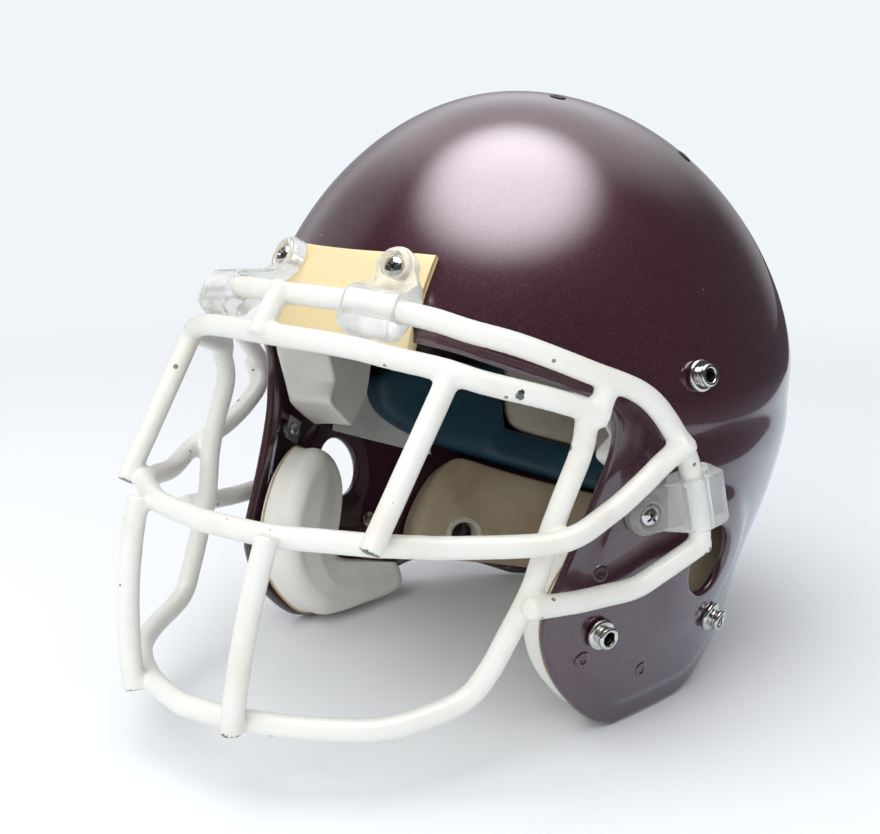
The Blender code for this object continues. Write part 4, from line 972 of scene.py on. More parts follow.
def clip_profile(away, stand, rise):
    """Side outline of a clip: a strap folded round the wire, with both legs under the screw."""
    top, middle = rise + CLIP_THICKNESS, rise + CLIP_THICKNESS / 2
    centre = Vector((away, stand))
    nose, shoulder = -CLIP_NOSE_RADIUS, CLIP_NOSE_RADIUS * 0.6

    def bearing(height):
        leg = Vector((shoulder, height)) - centre
        return math.atan2(leg.y, leg.x) % (2 * math.pi), leg.length

    lower, reach = bearing(rise)
    lower += math.acos(CLIP_RING / reach)
    upper, reach = bearing(top)
    upper += 2 * math.pi - math.acos(CLIP_RING / reach)
    inward, _ = bearing(middle)
    half = math.asin(CLIP_SLIT / CLIP_BORE)
    skirt = []
    for point in arc(centre, CLIP_RING, lower, upper, 48):
        out = point - centre
        beyond = ease(0.0, CLIP_RING * 0.8, out.x)
        skirt.append(point + Vector((CLIP_SKIRT * beyond, out.y * 0.10 * beyond)))
    bore = arc(centre, CLIP_BORE, inward + 2 * math.pi - half, inward + half)
    return [(nose, rise), (shoulder, rise), *skirt, (shoulder, top), (nose, top),
            (nose, middle + CLIP_SLIT), (shoulder, middle + CLIP_SLIT), *bore,
            (shoulder, middle - CLIP_SLIT), (nose, middle - CLIP_SLIT)]


def clip_plan(away, lean):
    """Plan outline of a clip: a round nose at the screw and an end set off along the wire."""
    reach = away + CLIP_RING + CLIP_SKIRT
    nose = arc(Vector((0.0, 0.0)), CLIP_NOSE_RADIUS, math.pi / 2, 3 * math.pi / 2, 20)
    corner = Vector((reach - CLIP_CORNER, CLIP_HALF_WIDTH - CLIP_CORNER))
    rounded = arc(corner, CLIP_CORNER, math.pi / 2, 0.0, 6)
    shoulder = away - WIRE_RADIUS - CLIP_RING_WALL
    outline = [*nose, (shoulder, -CLIP_HALF_WIDTH), *((x, -y) for x, y in rounded),
               *reversed(rounded), (shoulder, CLIP_HALF_WIDTH)]
    return [(x, y + lean * min(max(x / shoulder, 0.0), 1.0)) for x, y in outline]


def clip_frame(turn, level, wire, lean):
    """Matrix of a clip on the shell, with Y along the wire, and the wire's place in it."""
    point, normal = place(turn, level)
    inner = range(1, len(wire) - 1)
    k = min(inner, key=lambda i: (wire[i] - point).length)
    near = [i for i in inner if (wire[i] - point).length < 4 * CLIP_HALF_WIDTH]
    for _ in range(4):
        run = (wire[k + 1] - wire[k - 1]).normalized()
        across = (run - normal * run.dot(normal)).normalized()
        if (wire[k] - point).dot(across.cross(normal)) < 0.0:
            across.negate()
        k = min(near, key=lambda i: abs((wire[i] - point).dot(across) - lean))
    heading = across.cross(normal)
    axes = Matrix((heading, normal.cross(heading), normal)).transposed().to_4x4()
    matrix = Matrix.Translation(point) @ axes
    local = matrix.inverted() @ wire[k]
    return matrix, local.x, local.z


def clip_moulding(away, stand, rise, boss, lean):
    """Moulded clear clip: a strap folded round the wire, with a boss round the screw."""
    strap = plate(clip_profile(away, stand, rise), CLIP_HALF_WIDTH + lean + 0.003)
    strap.data.transform(Matrix.Rotation(math.pi / 2, 4, "X"))
    cut_with(strap, plate(clip_plan(away, lean), stand + 0.02), "INTERSECT")
    top = rise + CLIP_THICKNESS
    ring = turned([(0.0046, top - 0.0006), (0.0048, top + boss - 0.0004), (0.0053, top + boss),
                   (0.0064, top + boss), (0.0070, top + boss - 0.0007), (0.0073, top - 0.0010),
                   (0.0060, top - 0.0014)])
    return melt(join([strap, ring]), CLIP_VOXEL, 5)


# Bumper

BUMPER_THICKNESS = 0.0046
BUMPER_HALF_WIDTH = 0.0365
BUMPER_TOP = 0.1815
BUMPER_LIP = 0.0050
BUMPER_LIP_THICKNESS = 0.0008
BUMPER_GAP = 0.0005
BUMPER_SOFT = 0.0009
BUMPER_COLUMNS = 60
BUMPER_ROWS = 44
BROW_HEIGHT = 0.152


def bumper_section(column, edge):
    """Closed section of the bumper, as offsets from the shell and heights, over the brow edge."""
    thinned = 0.80 + 0.20 * min(1.0, 12 * min(column, 1 - column))
    inner, under, low = BUMPER_GAP, edge - BUMPER_GAP, -SHELL_WALL
    outer = inner + BUMPER_THICKNESS * thinned
    foot, top, middle, soft = under - BUMPER_LIP, BUMPER_TOP, (edge + BUMPER_TOP) / 2, BUMPER_SOFT
    return [(outer - soft, foot), (outer - soft * 0.3, foot + soft * 0.3), (outer, foot + soft),
            (outer, edge), (outer, middle), (outer, top - soft),
            (outer - soft * 0.3, top - soft * 0.3), (outer - soft, top), (inner, top),
            (inner, middle), (inner, under), (low, under), (low, under - BUMPER_LIP_THICKNESS),
            (low, foot + soft), (low + soft, foot), (outer - soft, foot)]


def build_bumper():
    """Rubber brow bumper: a plate on the shell with rounded edges and a lip under the brow."""
    bumper = unit_grid(BUMPER_COLUMNS, BUMPER_ROWS)
    for vert in bumper.data.vertices:
        column = (vert.co.x + 1) / 2
        across = BUMPER_HALF_WIDTH * (2 * column - 1)
        brow = surface(turn_before(across, BROW_HEIGHT), level_at(BROW_HEIGHT))
        section = bumper_section(column, brow_height(brow.y))
        at = (vert.co.y + 1) / 2 * (len(section) - 1)
        k = min(int(at), len(section) - 2)
        offset, height = (a + (b - a) * (at - k) for a, b in zip(section[k], section[k + 1]))
        vert.co = place(turn_before(across, height), level_at(height), offset)[0]
    edit(bumper)
    bpy.ops.mesh.remove_doubles(threshold=0.00002)
    bpy.ops.mesh.select_all(action="DESELECT")
    bpy.ops.mesh.select_mode(type="EDGE")
    bpy.ops.mesh.select_non_manifold()
    bpy.ops.mesh.fill()
    face_out()
    close_edit()
    modify(bumper, "BEVEL", width=0.0006, segments=2, limit_method="ANGLE",
           angle_limit=math.radians(60.0))
    return shade(bumper, 45.0)


# Pads

ON_WALL = SHELL_WALL + 0.0007
OVER_NUTS = SHELL_WALL + 0.0023
FRONT = -math.pi / 2
REAR = math.pi / 2

# Outlines on the shell's side, in shares of its front length and of its widest height.
JAW_PAD_CENTRE = (-0.470, 0.215)
JAW_PAD = (
    (-0.510, 0.630), (-0.430, 0.645), (-0.345, 0.600), (-0.300, 0.510), (-0.325, 0.410),
    (-0.370, 0.315), (-0.365, 0.250), (-0.315, 0.205), (-0.200, 0.168), (-0.070, 0.142),
    (0.026, 0.122), (0.058, 0.074), (0.048, 0.024), (-0.060, 0.004), (-0.320, 0.006),
    (-0.480, 0.036), (-0.610, 0.140), (-0.690, 0.250), (-0.718, 0.370), (-0.690, 0.480),
    (-0.615, 0.575),
)
TEMPLE_PAD_CENTRE = (-0.330, 0.960)
TEMPLE_PAD = (
    (-0.640, 1.160), (-0.575, 1.040), (-0.515, 0.945), (-0.475, 0.875), (-0.452, 0.828),
    (-0.435, 0.804), (-0.350, 0.748), (-0.275, 0.704), (-0.253, 0.695), (-0.232, 0.706),
    (-0.165, 0.745), (-0.105, 0.790), (-0.068, 0.850), (-0.040, 0.950), (-0.085, 1.060),
    (-0.170, 1.160), (-0.290, 1.240), (-0.480, 1.320), (-0.620, 1.270),
)
CROWN_PAD_RADIUS = 0.056
CROWN_PAD_SHIFT = 0.010
LOWEST = 0.0012

# The hollow in the temple pad's front: its depth, heights and how far back it reaches.
HOLLOW_DEPTH = 0.0110
HOLLOW_BOTTOM = (0.104, 0.113)
HOLLOW_TOP = (0.122, 0.140)
HOLLOW_REACH = (-0.055, -0.028)
TEMPLE_PAD_DEPTH = 0.0225

# Shares of the way from a pad's face to its back where its shoulder, side, heel and back begin.
SHOULDER = 0.42
SIDE = 0.56
HEEL = 0.70
BACK = 0.76
HEEL_RADIUS = 0.0012
SIDE_HOLLOW = 0.0006
RIDGE_BLEND = 0.0030
SEAM_HEIGHT = 0.0016
SEAM_OUT = 0.0003
SEAM_RADIUS = 0.00034
SEAM_STEP = 0.0012

# A band's outline and section: how full they are, how soon the back closes, how far it tucks
# in, the share of the depth left at the ends, and the lowest height.
BAND_FULLNESS = 1.4
BAND_SQUARENESS = 0.42
BAND_BACK_RATE = 2.2
BAND_TUCK = 0.05
BAND_END_SHARE = 0.25
BAND_LOWEST = 0.0010

AIR_HALF_TURN = 85.0
REAR_PAD_HALF_TURN = 49.2
NAPE_DEPTH = 0.0140
NAPE_TOP = 0.0402
NAPE_TOP_RISE = 0.0205
NAPE_TOP_HALF_TURN = 63.4
NAPE_GAP = 0.0016
VENT_TURN = 55.5
VENT_HEIGHT = 0.0215
VENT_RADIUS = 0.0078
VENT_DRILL = (-0.012, 0.020)
LABEL_LIFT = 0.00025
LABEL_THICKNESS = 0.0002
LABEL_CORNERS = ((-0.012, 0.0815), (0.045, 0.0605), (-0.004, 0.1080), (0.047, 0.0900))


def side_points(shares):
    """Places on the side, from shares of the front length and the widest height."""
    return [Vector((b * SHELL_FRONT_LENGTH, h * WIDEST_HEIGHT)) for b, h in shares]


def beside(at, offset):
    """Point under the wearer's left side of the shell."""
    height = max(at.y, LOWEST)
    return place(turn_beside(at.x, height), level_at(height), offset)[0]


def beside_temple(at, offset):
    """Point of the temple pad, whose front face is hollowed towards the wearer's brow."""
    inward = min(1.0, max(0.0, (-offset - OVER_NUTS) / TEMPLE_PAD_DEPTH))
    band = ease(*HOLLOW_BOTTOM, at.y) * (1.0 - ease(*HOLLOW_TOP, at.y))
    hollow = HOLLOW_DEPTH * band * (1.0 - ease(*HOLLOW_REACH, at.x))
    return beside(at + Vector((hollow * inward, 0.0)), offset)


def above(at, offset):
    """Point under the crown of the shell."""
    return place(*angles_above(at.x, at.y + CROWN_PAD_SHIFT), offset)[0]


def ray_to(ring, centre, angle):
    """Where a ray from the centre meets a closed outline."""
    ray = Vector((math.cos(angle), math.sin(angle)))
    best = ring[0]
    for a, b in zip(ring, ring[1:] + ring[:1]):
        u, v = a - centre, b - centre
        cross_u, cross_v = ray.x * u.y - ray.y * u.x, ray.x * v.y - ray.y * v.x
        if cross_u * cross_v <= 0.0 and cross_u != cross_v and (u + v).dot(ray) > 0.0:
            best = a.lerp(b, cross_u / (cross_u - cross_v))
    return best


def pad_form(points, centre, where, seat_depth, *, depth, edge, slope, soft, columns=144):
    """Moulded pad on the inner wall, whose face rises from its rounded edge like a low roof."""
    ring = closed_spline(points)
    tree = tree_of(ring)

    def face(at):
        away = max(0.0, tree.find(at.to_3d())[2] - soft)
        gap = depth - (edge + slope * away)
        return depth - 0.5 * (gap + math.hypot(gap, RIDGE_BLEND)) + 0.15 * RIDGE_BLEND

    pad = unit_sphere(columns, 48)
    rays = {}
    for vert in pad.data.vertices:
        polar, angle = sphere_angles(vert.co)
        polar /= math.pi
        key = round(angle, 5)
        if key not in rays:
            rays[key] = ray_to(ring, centre, angle) - centre
        reach = rays[key].length
        way = rays[key] / reach
        flat = reach - soft
        if polar < SHOULDER:
            out = flat * polar / SHOULDER
            rise = face(centre + way * out)
        elif polar < SIDE:
            bend = (polar - SHOULDER) / (SIDE - SHOULDER) * math.pi / 2
            out = reach - soft * (1 - math.sin(bend))
            rise = face(centre + way * flat) - soft * (1 - math.cos(bend))
        elif polar < HEEL:
            down = (polar - SIDE) / (HEEL - SIDE)
            top = face(centre + way * flat) - soft
            out = reach - SIDE_HOLLOW * math.sin(down * math.pi)
            rise = top + (HEEL_RADIUS - top) * down
        elif polar < BACK:
            bend = (polar - HEEL) / (BACK - HEEL) * math.pi / 2
            out = reach - HEEL_RADIUS * (1 - math.cos(bend))
            rise = HEEL_RADIUS * (1 - math.sin(bend))
        else:
            out = (reach - HEEL_RADIUS) * (1.0 - (polar - BACK) / (1.0 - BACK))
            rise = 0.0
        vert.co = where(centre + way * out, -(seat_depth + rise))
    return shade(pad)


def jaw_seam():
    """Thin welded seam round the jaw pad's side."""
    ring = closed_spline(side_points(JAW_PAD))
    ring = resample([*ring, ring[0]], SEAM_STEP)[:-1]
    middle = sum(ring, Vector((0.0, 0.0))) / len(ring)
    run = []
    for before, here, after in zip(ring[-1:] + ring, ring, ring[1:] + ring[:1]):
        way = toward(before, after)
        side = Vector((way.y, -way.x))
        if side.dot(here - middle) < 0.0 and (here - middle).length > 0.03:
            side = -side
        run.append(beside(here + side * SEAM_OUT, -(OVER_NUTS + SEAM_HEIGHT)))
    return tube(run, SEAM_RADIUS, closed=True, resolution=2)


def band_form(middle, half_turn, bottom, top, seat_depth, *, depth, edge_share, dome, square):
    """Padded band round the inner wall, between a bottom and a top that follow its length."""
    band = unit_sphere(56, 128)
    edge = depth * edge_share
    for vert in band.data.vertices:
        polar, angle = sphere_angles(vert.co)
        along = -math.cos(polar)
        reach = 1.0 - (1.0 - abs(along)) ** BAND_FULLNESS
        along = math.copysign(reach, along) if abs(along) > 0.0 else 0.0
        taper = (1.0 - abs(along) ** square) ** BAND_SQUARENESS if abs(along) < 1.0 else 0.0
        across = math.copysign(abs(math.cos(angle)) ** BAND_SQUARENESS, math.cos(angle)) * taper
        lift = math.sin(angle)
        if lift >= 0.0:
            rise = edge + (depth - edge) * lift**dome
        else:
            back = min(1.0, -BAND_BACK_RATE * lift)
            rise = edge * (1.0 - back)
            across *= 1.0 - BAND_TUCK * back
        low, high = bottom(along), top(along)
        height = (low + high) / 2 + (high - low) / 2 * across
        turn = middle + math.radians(half_turn(height)) * along
        out = -(seat_depth + rise * (BAND_END_SHARE + (1.0 - BAND_END_SHARE) * taper))
        vert.co = place(turn, level_at(max(height, BAND_LOWEST)), out)[0]
    return shade(band)


def rear_pad_foot(share):
    """Height of the rear pad's lower edge, along its length."""
    return 0.0563 + 0.0095 * (share * REAR_PAD_HALF_TURN / 40.0) ** 2


def air_foot(share):
    """Height of the air band's lower edge, which follows the nape pad's upper edge."""
    way = share * AIR_HALF_TURN / NAPE_TOP_HALF_TURN
    return NAPE_TOP + NAPE_GAP + NAPE_TOP_RISE * way**2


def air_top(share):
    """Height of the air band's upper edge, low below the rear pad and high beyond its ends."""
    degrees = abs(share) * AIR_HALF_TURN
    low = rear_pad_foot(degrees / REAR_PAD_HALF_TURN) - 0.0003
    return low + (0.0975 + 0.0175 * share * share - low) * ease(46.8, 50.6, degrees)


def vent_seats():
    """Matrices of the nape pad's two vents, on its face, the left one first."""
    seats = []
    point, normal = place(REAR - math.radians(VENT_TURN), level_at(VENT_HEIGHT),
                          -(ON_WALL + NAPE_DEPTH))
    for spot, way in ((point, normal), mirrored((point, normal))):
        seats.append(Matrix.Translation(spot) @ way.to_track_quat("Z", "Y").to_matrix().to_4x4())
    return seats


def nape_half_turn(height):
    """How far round the nape pad reaches at a height, in degrees."""
    return min(75.0, 63.0 + 320.0 * (0.062 - height))


def nape_form():
    """Nape pad with its two vents cut through."""
    nape = band_form(REAR, nape_half_turn, lambda share: 0.0020 + 0.012 * share * share,
                     lambda share: NAPE_TOP + NAPE_TOP_RISE * share * share, ON_WALL,
                     depth=NAPE_DEPTH, edge_share=0.75, dome=0.3, square=26)
    for matrix in vent_seats():
        low, high = VENT_DRILL
        drill = turned([(0.0, low), (VENT_RADIUS, low), (VENT_RADIUS, high), (0.0, high)], 48)
        cut_with(nape, moved(drill, matrix))
    return shade(nape, 50.0)


def vent_ring():
    """Turned ring that lines a vent."""
    return turned(in_mm([(7.5, 12.5), (6.4, 12.0), (6.4, 0.8), (6.8, -0.6), (8.0, -1.2),
                         (9.2, -1.0), (9.9, -0.2), (9.5, 0.6), (7.6, 1.0), (7.5, 12.5)]), 48)


def label_form():
    """Blank sheet on the inner wall of the wearer's right."""
    label = unit_grid(24, 16)
    corners = [Vector(corner) for corner in LABEL_CORNERS]
    for vert in label.data.vertices:
        u, v = (vert.co.x + 1) / 2, (vert.co.y + 1) / 2
        at = corners[0].lerp(corners[1], u).lerp(corners[2].lerp(corners[3], u), v)
        vert.co = mirrored([beside(at, -(SHELL_WALL + LABEL_LIFT))])[0]
    return modify(label, "SOLIDIFY", thickness=LABEL_THICKNESS)


# Materials

EFFECTS = {}
FINISHES = {}


def feed(tree, value, socket):
    """Link a socket to an input, or set the input to a plain value."""
    if isinstance(value, bpy.types.NodeSocket):
        tree.links.new(value, socket)
    else:
        socket.default_value = value


def add_node(tree, kind, *values, **settings):
    """Add a node. Its first inputs, properties and named inputs take sockets or plain values."""
    node = tree.nodes.new(f"ShaderNode{kind}")
    for key, value in settings.items():
        if hasattr(node, key) and key not in node.inputs:
            setattr(node, key, value)
        else:
            feed(tree, value, node.inputs[key.replace("_", " ")])
    for value, socket in zip(values, node.inputs):
        feed(tree, value, socket)
    return node


def maths(tree, operation, *values):
    """Result of a maths operation."""
    return add_node(tree, "Math", *values, operation=operation).outputs["Value"]


def reach_along(tree, vector, direction):
    """How far a vector reaches in a direction."""
    node = add_node(tree, "VectorMath", vector, direction, operation="DOT_PRODUCT")
    return node.outputs["Value"]


def rising(tree, value, low, high, top=1.0, kind="SMOOTHSTEP"):
    """Smooth rise from 0 to a top value while another value goes from low to high."""
    node = add_node(tree, "MapRange", interpolation_type=kind, Value=value, From_Min=low,
                    From_Max=high, To_Max=top)
    return node.outputs["Result"]


def mix_colour(tree, mask, low, high):
    """Mix two colours or colour sockets by a mask socket."""
    node = add_node(tree, "Mix", data_type="RGBA", Factor=mask)
    for key, value in (("A", low), ("B", high)):
        socket = next(s for s in node.inputs if s.name == key and s.type == "RGBA")
        feed(tree, (*value, 1.0) if isinstance(value, tuple) else value, socket)
    return next(s for s in node.outputs if s.type == "RGBA")


def mix_value(tree, mask, low, high):
    """Mix two numbers by a mask socket."""
    return add_node(tree, "MapRange", Value=mask, To_Min=low, To_Max=high).outputs["Result"]


def bump(tree, height, strength, distance):
    """Bump from a height socket."""
    node = add_node(tree, "Bump", Strength=strength, Distance=distance, Height=height)
    return node.outputs["Normal"]


def new_group(name, output, **inputs):
    """Start a shared effect: a node group with a vector, these numbers and one output."""
    group = bpy.data.node_groups.new(name, "ShaderNodeTree")
    group.interface.new_socket("Vector", in_out="INPUT", socket_type="NodeSocketVector")
    for key, value in inputs.items():
        socket = group.interface.new_socket(key.replace("_", " "), in_out="INPUT",
                                            socket_type="NodeSocketFloat")
        socket.default_value = value
    group.interface.new_socket(output, in_out="OUTPUT", socket_type="NodeSocketFloat")
    EFFECTS[name] = group
    given = group.nodes.new("NodeGroupInput").outputs
    return group, given, group.nodes.new("NodeGroupOutput").inputs[output]


def add_patches():
    """Soft patches of dirt or tone, as a mask."""
    group, given, mask = new_group("patches", "Mask", Scale=20.0, Low=0.4, High=0.7)
    noise = add_node(group, "TexNoise", Vector=given["Vector"], Scale=given["Scale"], Detail=6.0,
                     Roughness=0.6)
    feed(group, rising(group, noise.outputs["Fac"], given["Low"], given["High"]), mask)


def add_specks():
    """Small round specks and short scuffs, as a mask."""
    group, given, mask = new_group("specks", "Mask", Scale=200.0, Share=0.1, Size=0.2)
    cells = add_node(group, "TexVoronoi", feature="F1", Vector=given["Vector"],
                     Scale=given["Scale"]).outputs
    apart = add_node(group, "SeparateColor", Color=cells["Color"]).outputs
    chosen = maths(group, "LESS_THAN", apart["Red"], given["Share"])
    size = maths(group, "MULTIPLY", apart["Green"], given["Size"])
    near = maths(group, "LESS_THAN", cells["Distance"], size)
    feed(group, maths(group, "MULTIPLY", chosen, near), mask)


def add_grain():
    """Fine moulded or leathery grain, as a height."""
    group, given, height = new_group("grain", "Height", Fine=1200.0, Coarse=90.0,
                                     Coarse_Share=0.5)
    fine = add_node(group, "TexNoise", Vector=given["Vector"], Scale=given["Fine"], Detail=3.0)
    coarse = add_node(group, "TexNoise", Vector=given["Vector"], Scale=given["Coarse"], Detail=2.0)
    blend = add_node(group, "Mix", data_type="FLOAT", Factor=given["Coarse Share"],
                     A=fine.outputs["Fac"], B=coarse.outputs["Fac"])
    feed(group, blend.outputs["Result"], height)


def places(tree):
    """Object coordinates in a material."""
    return add_node(tree, "TexCoord").outputs["Object"]


def effect(tree, name, **values):
    """Place a shared effect in a material on object coordinates."""
    node = add_node(tree, "Group", node_tree=EFFECTS[name])
    for key, value in {"Vector": places(tree), **values}.items():
        feed(tree, value, node.inputs[key.replace("_", " ")])
    return node.outputs[0]


def dress(tree, **inputs):
    """Give inputs of the material's shader sockets or plain values."""
    for key, value in inputs.items():
        feed(tree, value, tree.nodes["Principled BSDF"].inputs[key.replace("_", " ")])


def start_finish(name, **values):
    """Start a material with plain shader values."""
    material = bpy.data.materials.new(name)
    material.use_nodes = True
    dress(material.node_tree, **values)
    return material, material.node_tree


def plum_paint():
    """Metal-flake plum paint under a clear coat, with scuffs and dust."""
    material, tree = start_finish(
        "plum_paint", Metallic=0.28, Roughness=0.30, Specular_IOR_Level=0.6, Coat_Weight=1.0,
        Coat_Roughness=0.03, Coat_IOR=1.74)
    tone = effect(tree, "patches", Scale=2600.0, Low=0.30, High=0.80)
    flake = effect(tree, "specks", Scale=3200.0, Share=0.22, Size=1.4)
    scuff = effect(tree, "specks", Scale=150.0, Share=0.06, Size=0.10)
    smudge = effect(tree, "patches", Scale=16.0, Low=0.35, High=0.8)
    grain = effect(tree, "grain", Fine=1700.0, Coarse=60.0, Coarse_Share=0.15)
    paint = mix_colour(tree, tone, (0.043, 0.0085, 0.0175), (0.066, 0.016, 0.030))
    paint = mix_colour(tree, flake, paint, (0.105, 0.032, 0.052))
    dress(tree, Base_Color=mix_colour(tree, scuff, paint, (0.30, 0.27, 0.27)),
          Roughness=mix_value(tree, smudge, 0.28, 0.35), Normal=bump(tree, grain, 0.08, 0.0002))
    return material


def dipped_coat():
    """Ivory plastisol coat of the guard, chipped to steel in places."""
    material, tree = start_finish("dipped_coat", Roughness=0.34, Specular_IOR_Level=0.5)
    stain = effect(tree, "patches", Scale=34.0, Low=0.45, High=0.8)
    speck = effect(tree, "specks", Scale=210.0, Share=0.12, Size=0.25)
    ragged = effect(tree, "patches", Scale=900.0, Low=0.2, High=0.8)
    runs = effect(tree, "grain", Fine=420.0, Coarse=70.0, Coarse_Share=0.75)
    chip = add_node(tree, "Attribute", attribute_name="bare").outputs["Fac"]
    steel = maths(tree, "GREATER_THAN", maths(tree, "ADD", chip, ragged), 1.02)
    coat = mix_colour(tree, stain, (0.845, 0.84, 0.79), (0.78, 0.75, 0.65))
    coat = mix_colour(tree, speck, coat, (0.24, 0.22, 0.19))
    dress(tree, Base_Color=mix_colour(tree, steel, coat, (0.16, 0.155, 0.15)),
          Metallic=mix_value(tree, steel, 0.0, 0.9),
          Roughness=mix_value(tree, stain, 0.30, 0.42), Normal=bump(tree, runs, 0.35, 0.0005))
    return material


def plain_finish(name, low, high, roughness, patch=(30.0, 0.4, 0.75), **values):
    """Matt or glossy finish with patches of a second tone and a grain."""
    material, tree = start_finish(name, **values)
    scale, start, full = patch
    tone = effect(tree, "patches", Scale=scale, Low=start, High=full)
    grain = effect(tree, "grain", Fine=900.0, Coarse=90.0, Coarse_Share=0.4)
    dress(tree, Base_Color=mix_colour(tree, tone, low, high),
          Roughness=mix_value(tree, tone, *roughness), Normal=bump(tree, grain, 0.2, 0.0003))
    return material


def nickel_plate():
    """Bright nickel plate with painted shade in its recesses."""
    material, tree = start_finish("nickel_plate", Metallic=1.0)
    tone = effect(tree, "patches", Scale=160.0, Low=0.4, High=0.8)
    grain = effect(tree, "grain", Fine=1500.0, Coarse=300.0, Coarse_Share=0.4)
    # Marked points in recesses are painted near black as shade.
    recess_shade = add_node(tree, "Attribute", attribute_name="recess_shade").outputs["Fac"]
    metal = mix_colour(tree, tone, (0.74, 0.72, 0.68), (0.58, 0.56, 0.52))
    dress(tree, Base_Color=mix_colour(tree, recess_shade, metal, (0.055, 0.052, 0.048)),
          Roughness=mix_value(tree, tone, 0.12, 0.28), Normal=bump(tree, grain, 0.2, 0.0002))
    return material


def clear_plastic():
    """Clear moulded plastic, faintly milky, that lets light through to what it holds."""
    material, tree = start_finish("clear_plastic", Roughness=0.08, Transmission_Weight=0.75,
                                  IOR=1.40)
    haze = effect(tree, "patches", Scale=120.0, Low=0.35, High=0.8)
    ripple = effect(tree, "grain", Fine=500.0, Coarse=110.0, Coarse_Share=0.7)
    shadow = add_node(tree, "LightPath").outputs["Is Shadow Ray"]
    dress(tree, Base_Color=mix_colour(tree, haze, (0.97, 0.975, 0.97), (0.90, 0.90, 0.86)),
          Roughness=mix_value(tree, haze, 0.06, 0.20), Normal=bump(tree, ripple, 0.35, 0.0005),
          Alpha=mix_value(tree, shadow, 1.0, 0.12))
    return material


def build_finishes():
    """All finishes of the helmet, each with its slot."""
    add_patches()
    add_specks()
    add_grain()
    FINISHES["plum"] = plum_paint(), "plum_shell"
    FINISHES["coat"] = dipped_coat(), "coated_wire"
    FINISHES["clear"] = clear_plastic(), "clear_plastic"
    FINISHES["nickel"] = nickel_plate(), "plated_hardware"
    FINISHES["zinc"] = plain_finish(
        "zinc_steel", (0.42, 0.42, 0.41), (0.24, 0.23, 0.22), (0.30, 0.5),
        Metallic=0.9), "zinc_steel"
    FINISHES["tan"] = plain_finish(
        "tan_foam", (0.50, 0.42, 0.29), (0.36, 0.27, 0.17), (0.75, 0.9),
        patch=(26.0, 0.3, 0.7)), "tan_foam"
    for key, name, slot, low, high, roughness in (
        ("cream", "cream_rubber", "cream_bumper", (0.93, 0.76, 0.44), (0.86, 0.67, 0.36),
         (0.42, 0.55)),
        ("white", "white_vinyl", "white_foam", (0.90, 0.885, 0.82), (0.80, 0.775, 0.69),
         (0.42, 0.55)),
        ("blue", "blue_vinyl", "blue_vinyl", (0.022, 0.068, 0.102), (0.020, 0.085, 0.125),
         (0.38, 0.55)),
        ("beige", "beige_foam", "beige_foam", (0.66, 0.61, 0.50), (0.50, 0.44, 0.33),
         (0.75, 0.9)),
        ("black", "black_rubber", "black_rubber", (0.020, 0.020, 0.020), (0.035, 0.034, 0.033),
         (0.45, 0.6)),
        ("seam", "seam_tape", "tan_foam", (0.55, 0.38, 0.20), (0.42, 0.28, 0.14), (0.55, 0.7)),
        ("paper", "label_sheet", "white_foam", (0.82, 0.82, 0.79), (0.66, 0.65, 0.61),
         (0.45, 0.6)),
    ):
        FINISHES[key] = plain_finish(name, low, high, roughness), slot


# Stage

BACKDROP = (0.875, 0.915, 0.955)
FLOOR_FADE = (0.45, 1.15)
FLOOR_IN_GLOSS = (0.84, 0.93, 1.0)
ROOM_LIGHT = (0.57, 0.58, 0.61)
ROOM_TINT = (0.96, 0.95, 1.0)
ROOM_LEVEL = 0.07
DARK_SIDE = (0.07, 0.062, 0.075)
DARK_SIDE_TURN = math.radians(38.0)
DARK_SIDE_START = (0.46, 0.50)

# Soft glows that gloss mirrors: azimuth, elevation, outer and inner angle in degrees, and level.
GLOWS = (
    (-75.0, 86.5, 39.0, 3.0, 6.2), (125.0, 52.0, 46.0, 10.0, 0.85),
    (180.0, 28.0, 34.0, 10.0, 0.36), (135.0, -6.0, 54.0, 24.0, 0.30),
)

# Place, aim and size of each softbox.
SOFTBOXES = {
    "overhead_softbox": ((-0.10, -0.45, 1.70), (0.0, 0.0, 0.10), 1.5),
    "front_softbox": ((0.55, -1.45, 1.15), (0.0, 0.0, 0.08), 1.2),
}
SOFTBOX_POWER = 11.8
CAMERA_PLACE = (0.3828, -0.44075, 0.2368)
CAMERA_PITCH = 12.585
CAMERA_AZIMUTH = 42.39
CAMERA_LENS = 57.27


def glow_from(tree, heading, azimuth, elevation, outer, inner, level):
    """Soft round glow in one direction."""
    a, e = math.radians(azimuth), math.radians(elevation)
    aim = (math.cos(a) * math.cos(e), math.sin(a) * math.cos(e), math.sin(e))
    edge, middle = math.cos(math.radians(outer)), math.cos(math.radians(inner))
    return rising(tree, reach_along(tree, heading, aim), edge, middle, level, "SMOOTHERSTEP")


def build_room():
    """World: a pale backdrop, with soft glows overhead and a dim room that gloss mirrors."""
    world = bpy.context.scene.world or bpy.data.worlds.new("world")
    bpy.context.scene.world = world
    world.use_nodes = True
    tree = world.node_tree
    path = add_node(tree, "LightPath").outputs
    heading = add_node(tree, "TexCoord").outputs["Generated"]
    total, *others = [glow_from(tree, heading, *glow) for glow in GLOWS]
    for part in (*others, ROOM_LEVEL):
        total = maths(tree, "ADD", total, part)
    glow = maths(tree, "MULTIPLY", total, path["Is Glossy Ray"])
    tint = add_node(tree, "VectorMath", ROOM_TINT, operation="SCALE", Scale=glow)
    plain = mix_colour(tree, path["Is Glossy Ray"], ROOM_LIGHT, (0.0, 0.0, 0.0))
    light = add_node(tree, "VectorMath", plain, tint.outputs["Vector"], operation="ADD")
    seen = maths(tree, "MAXIMUM", path["Is Camera Ray"], path["Is Transmission Ray"])
    colour = mix_colour(tree, seen, light.outputs["Vector"], BACKDROP)
    feed(tree, colour, tree.nodes["Background"].inputs["Color"])


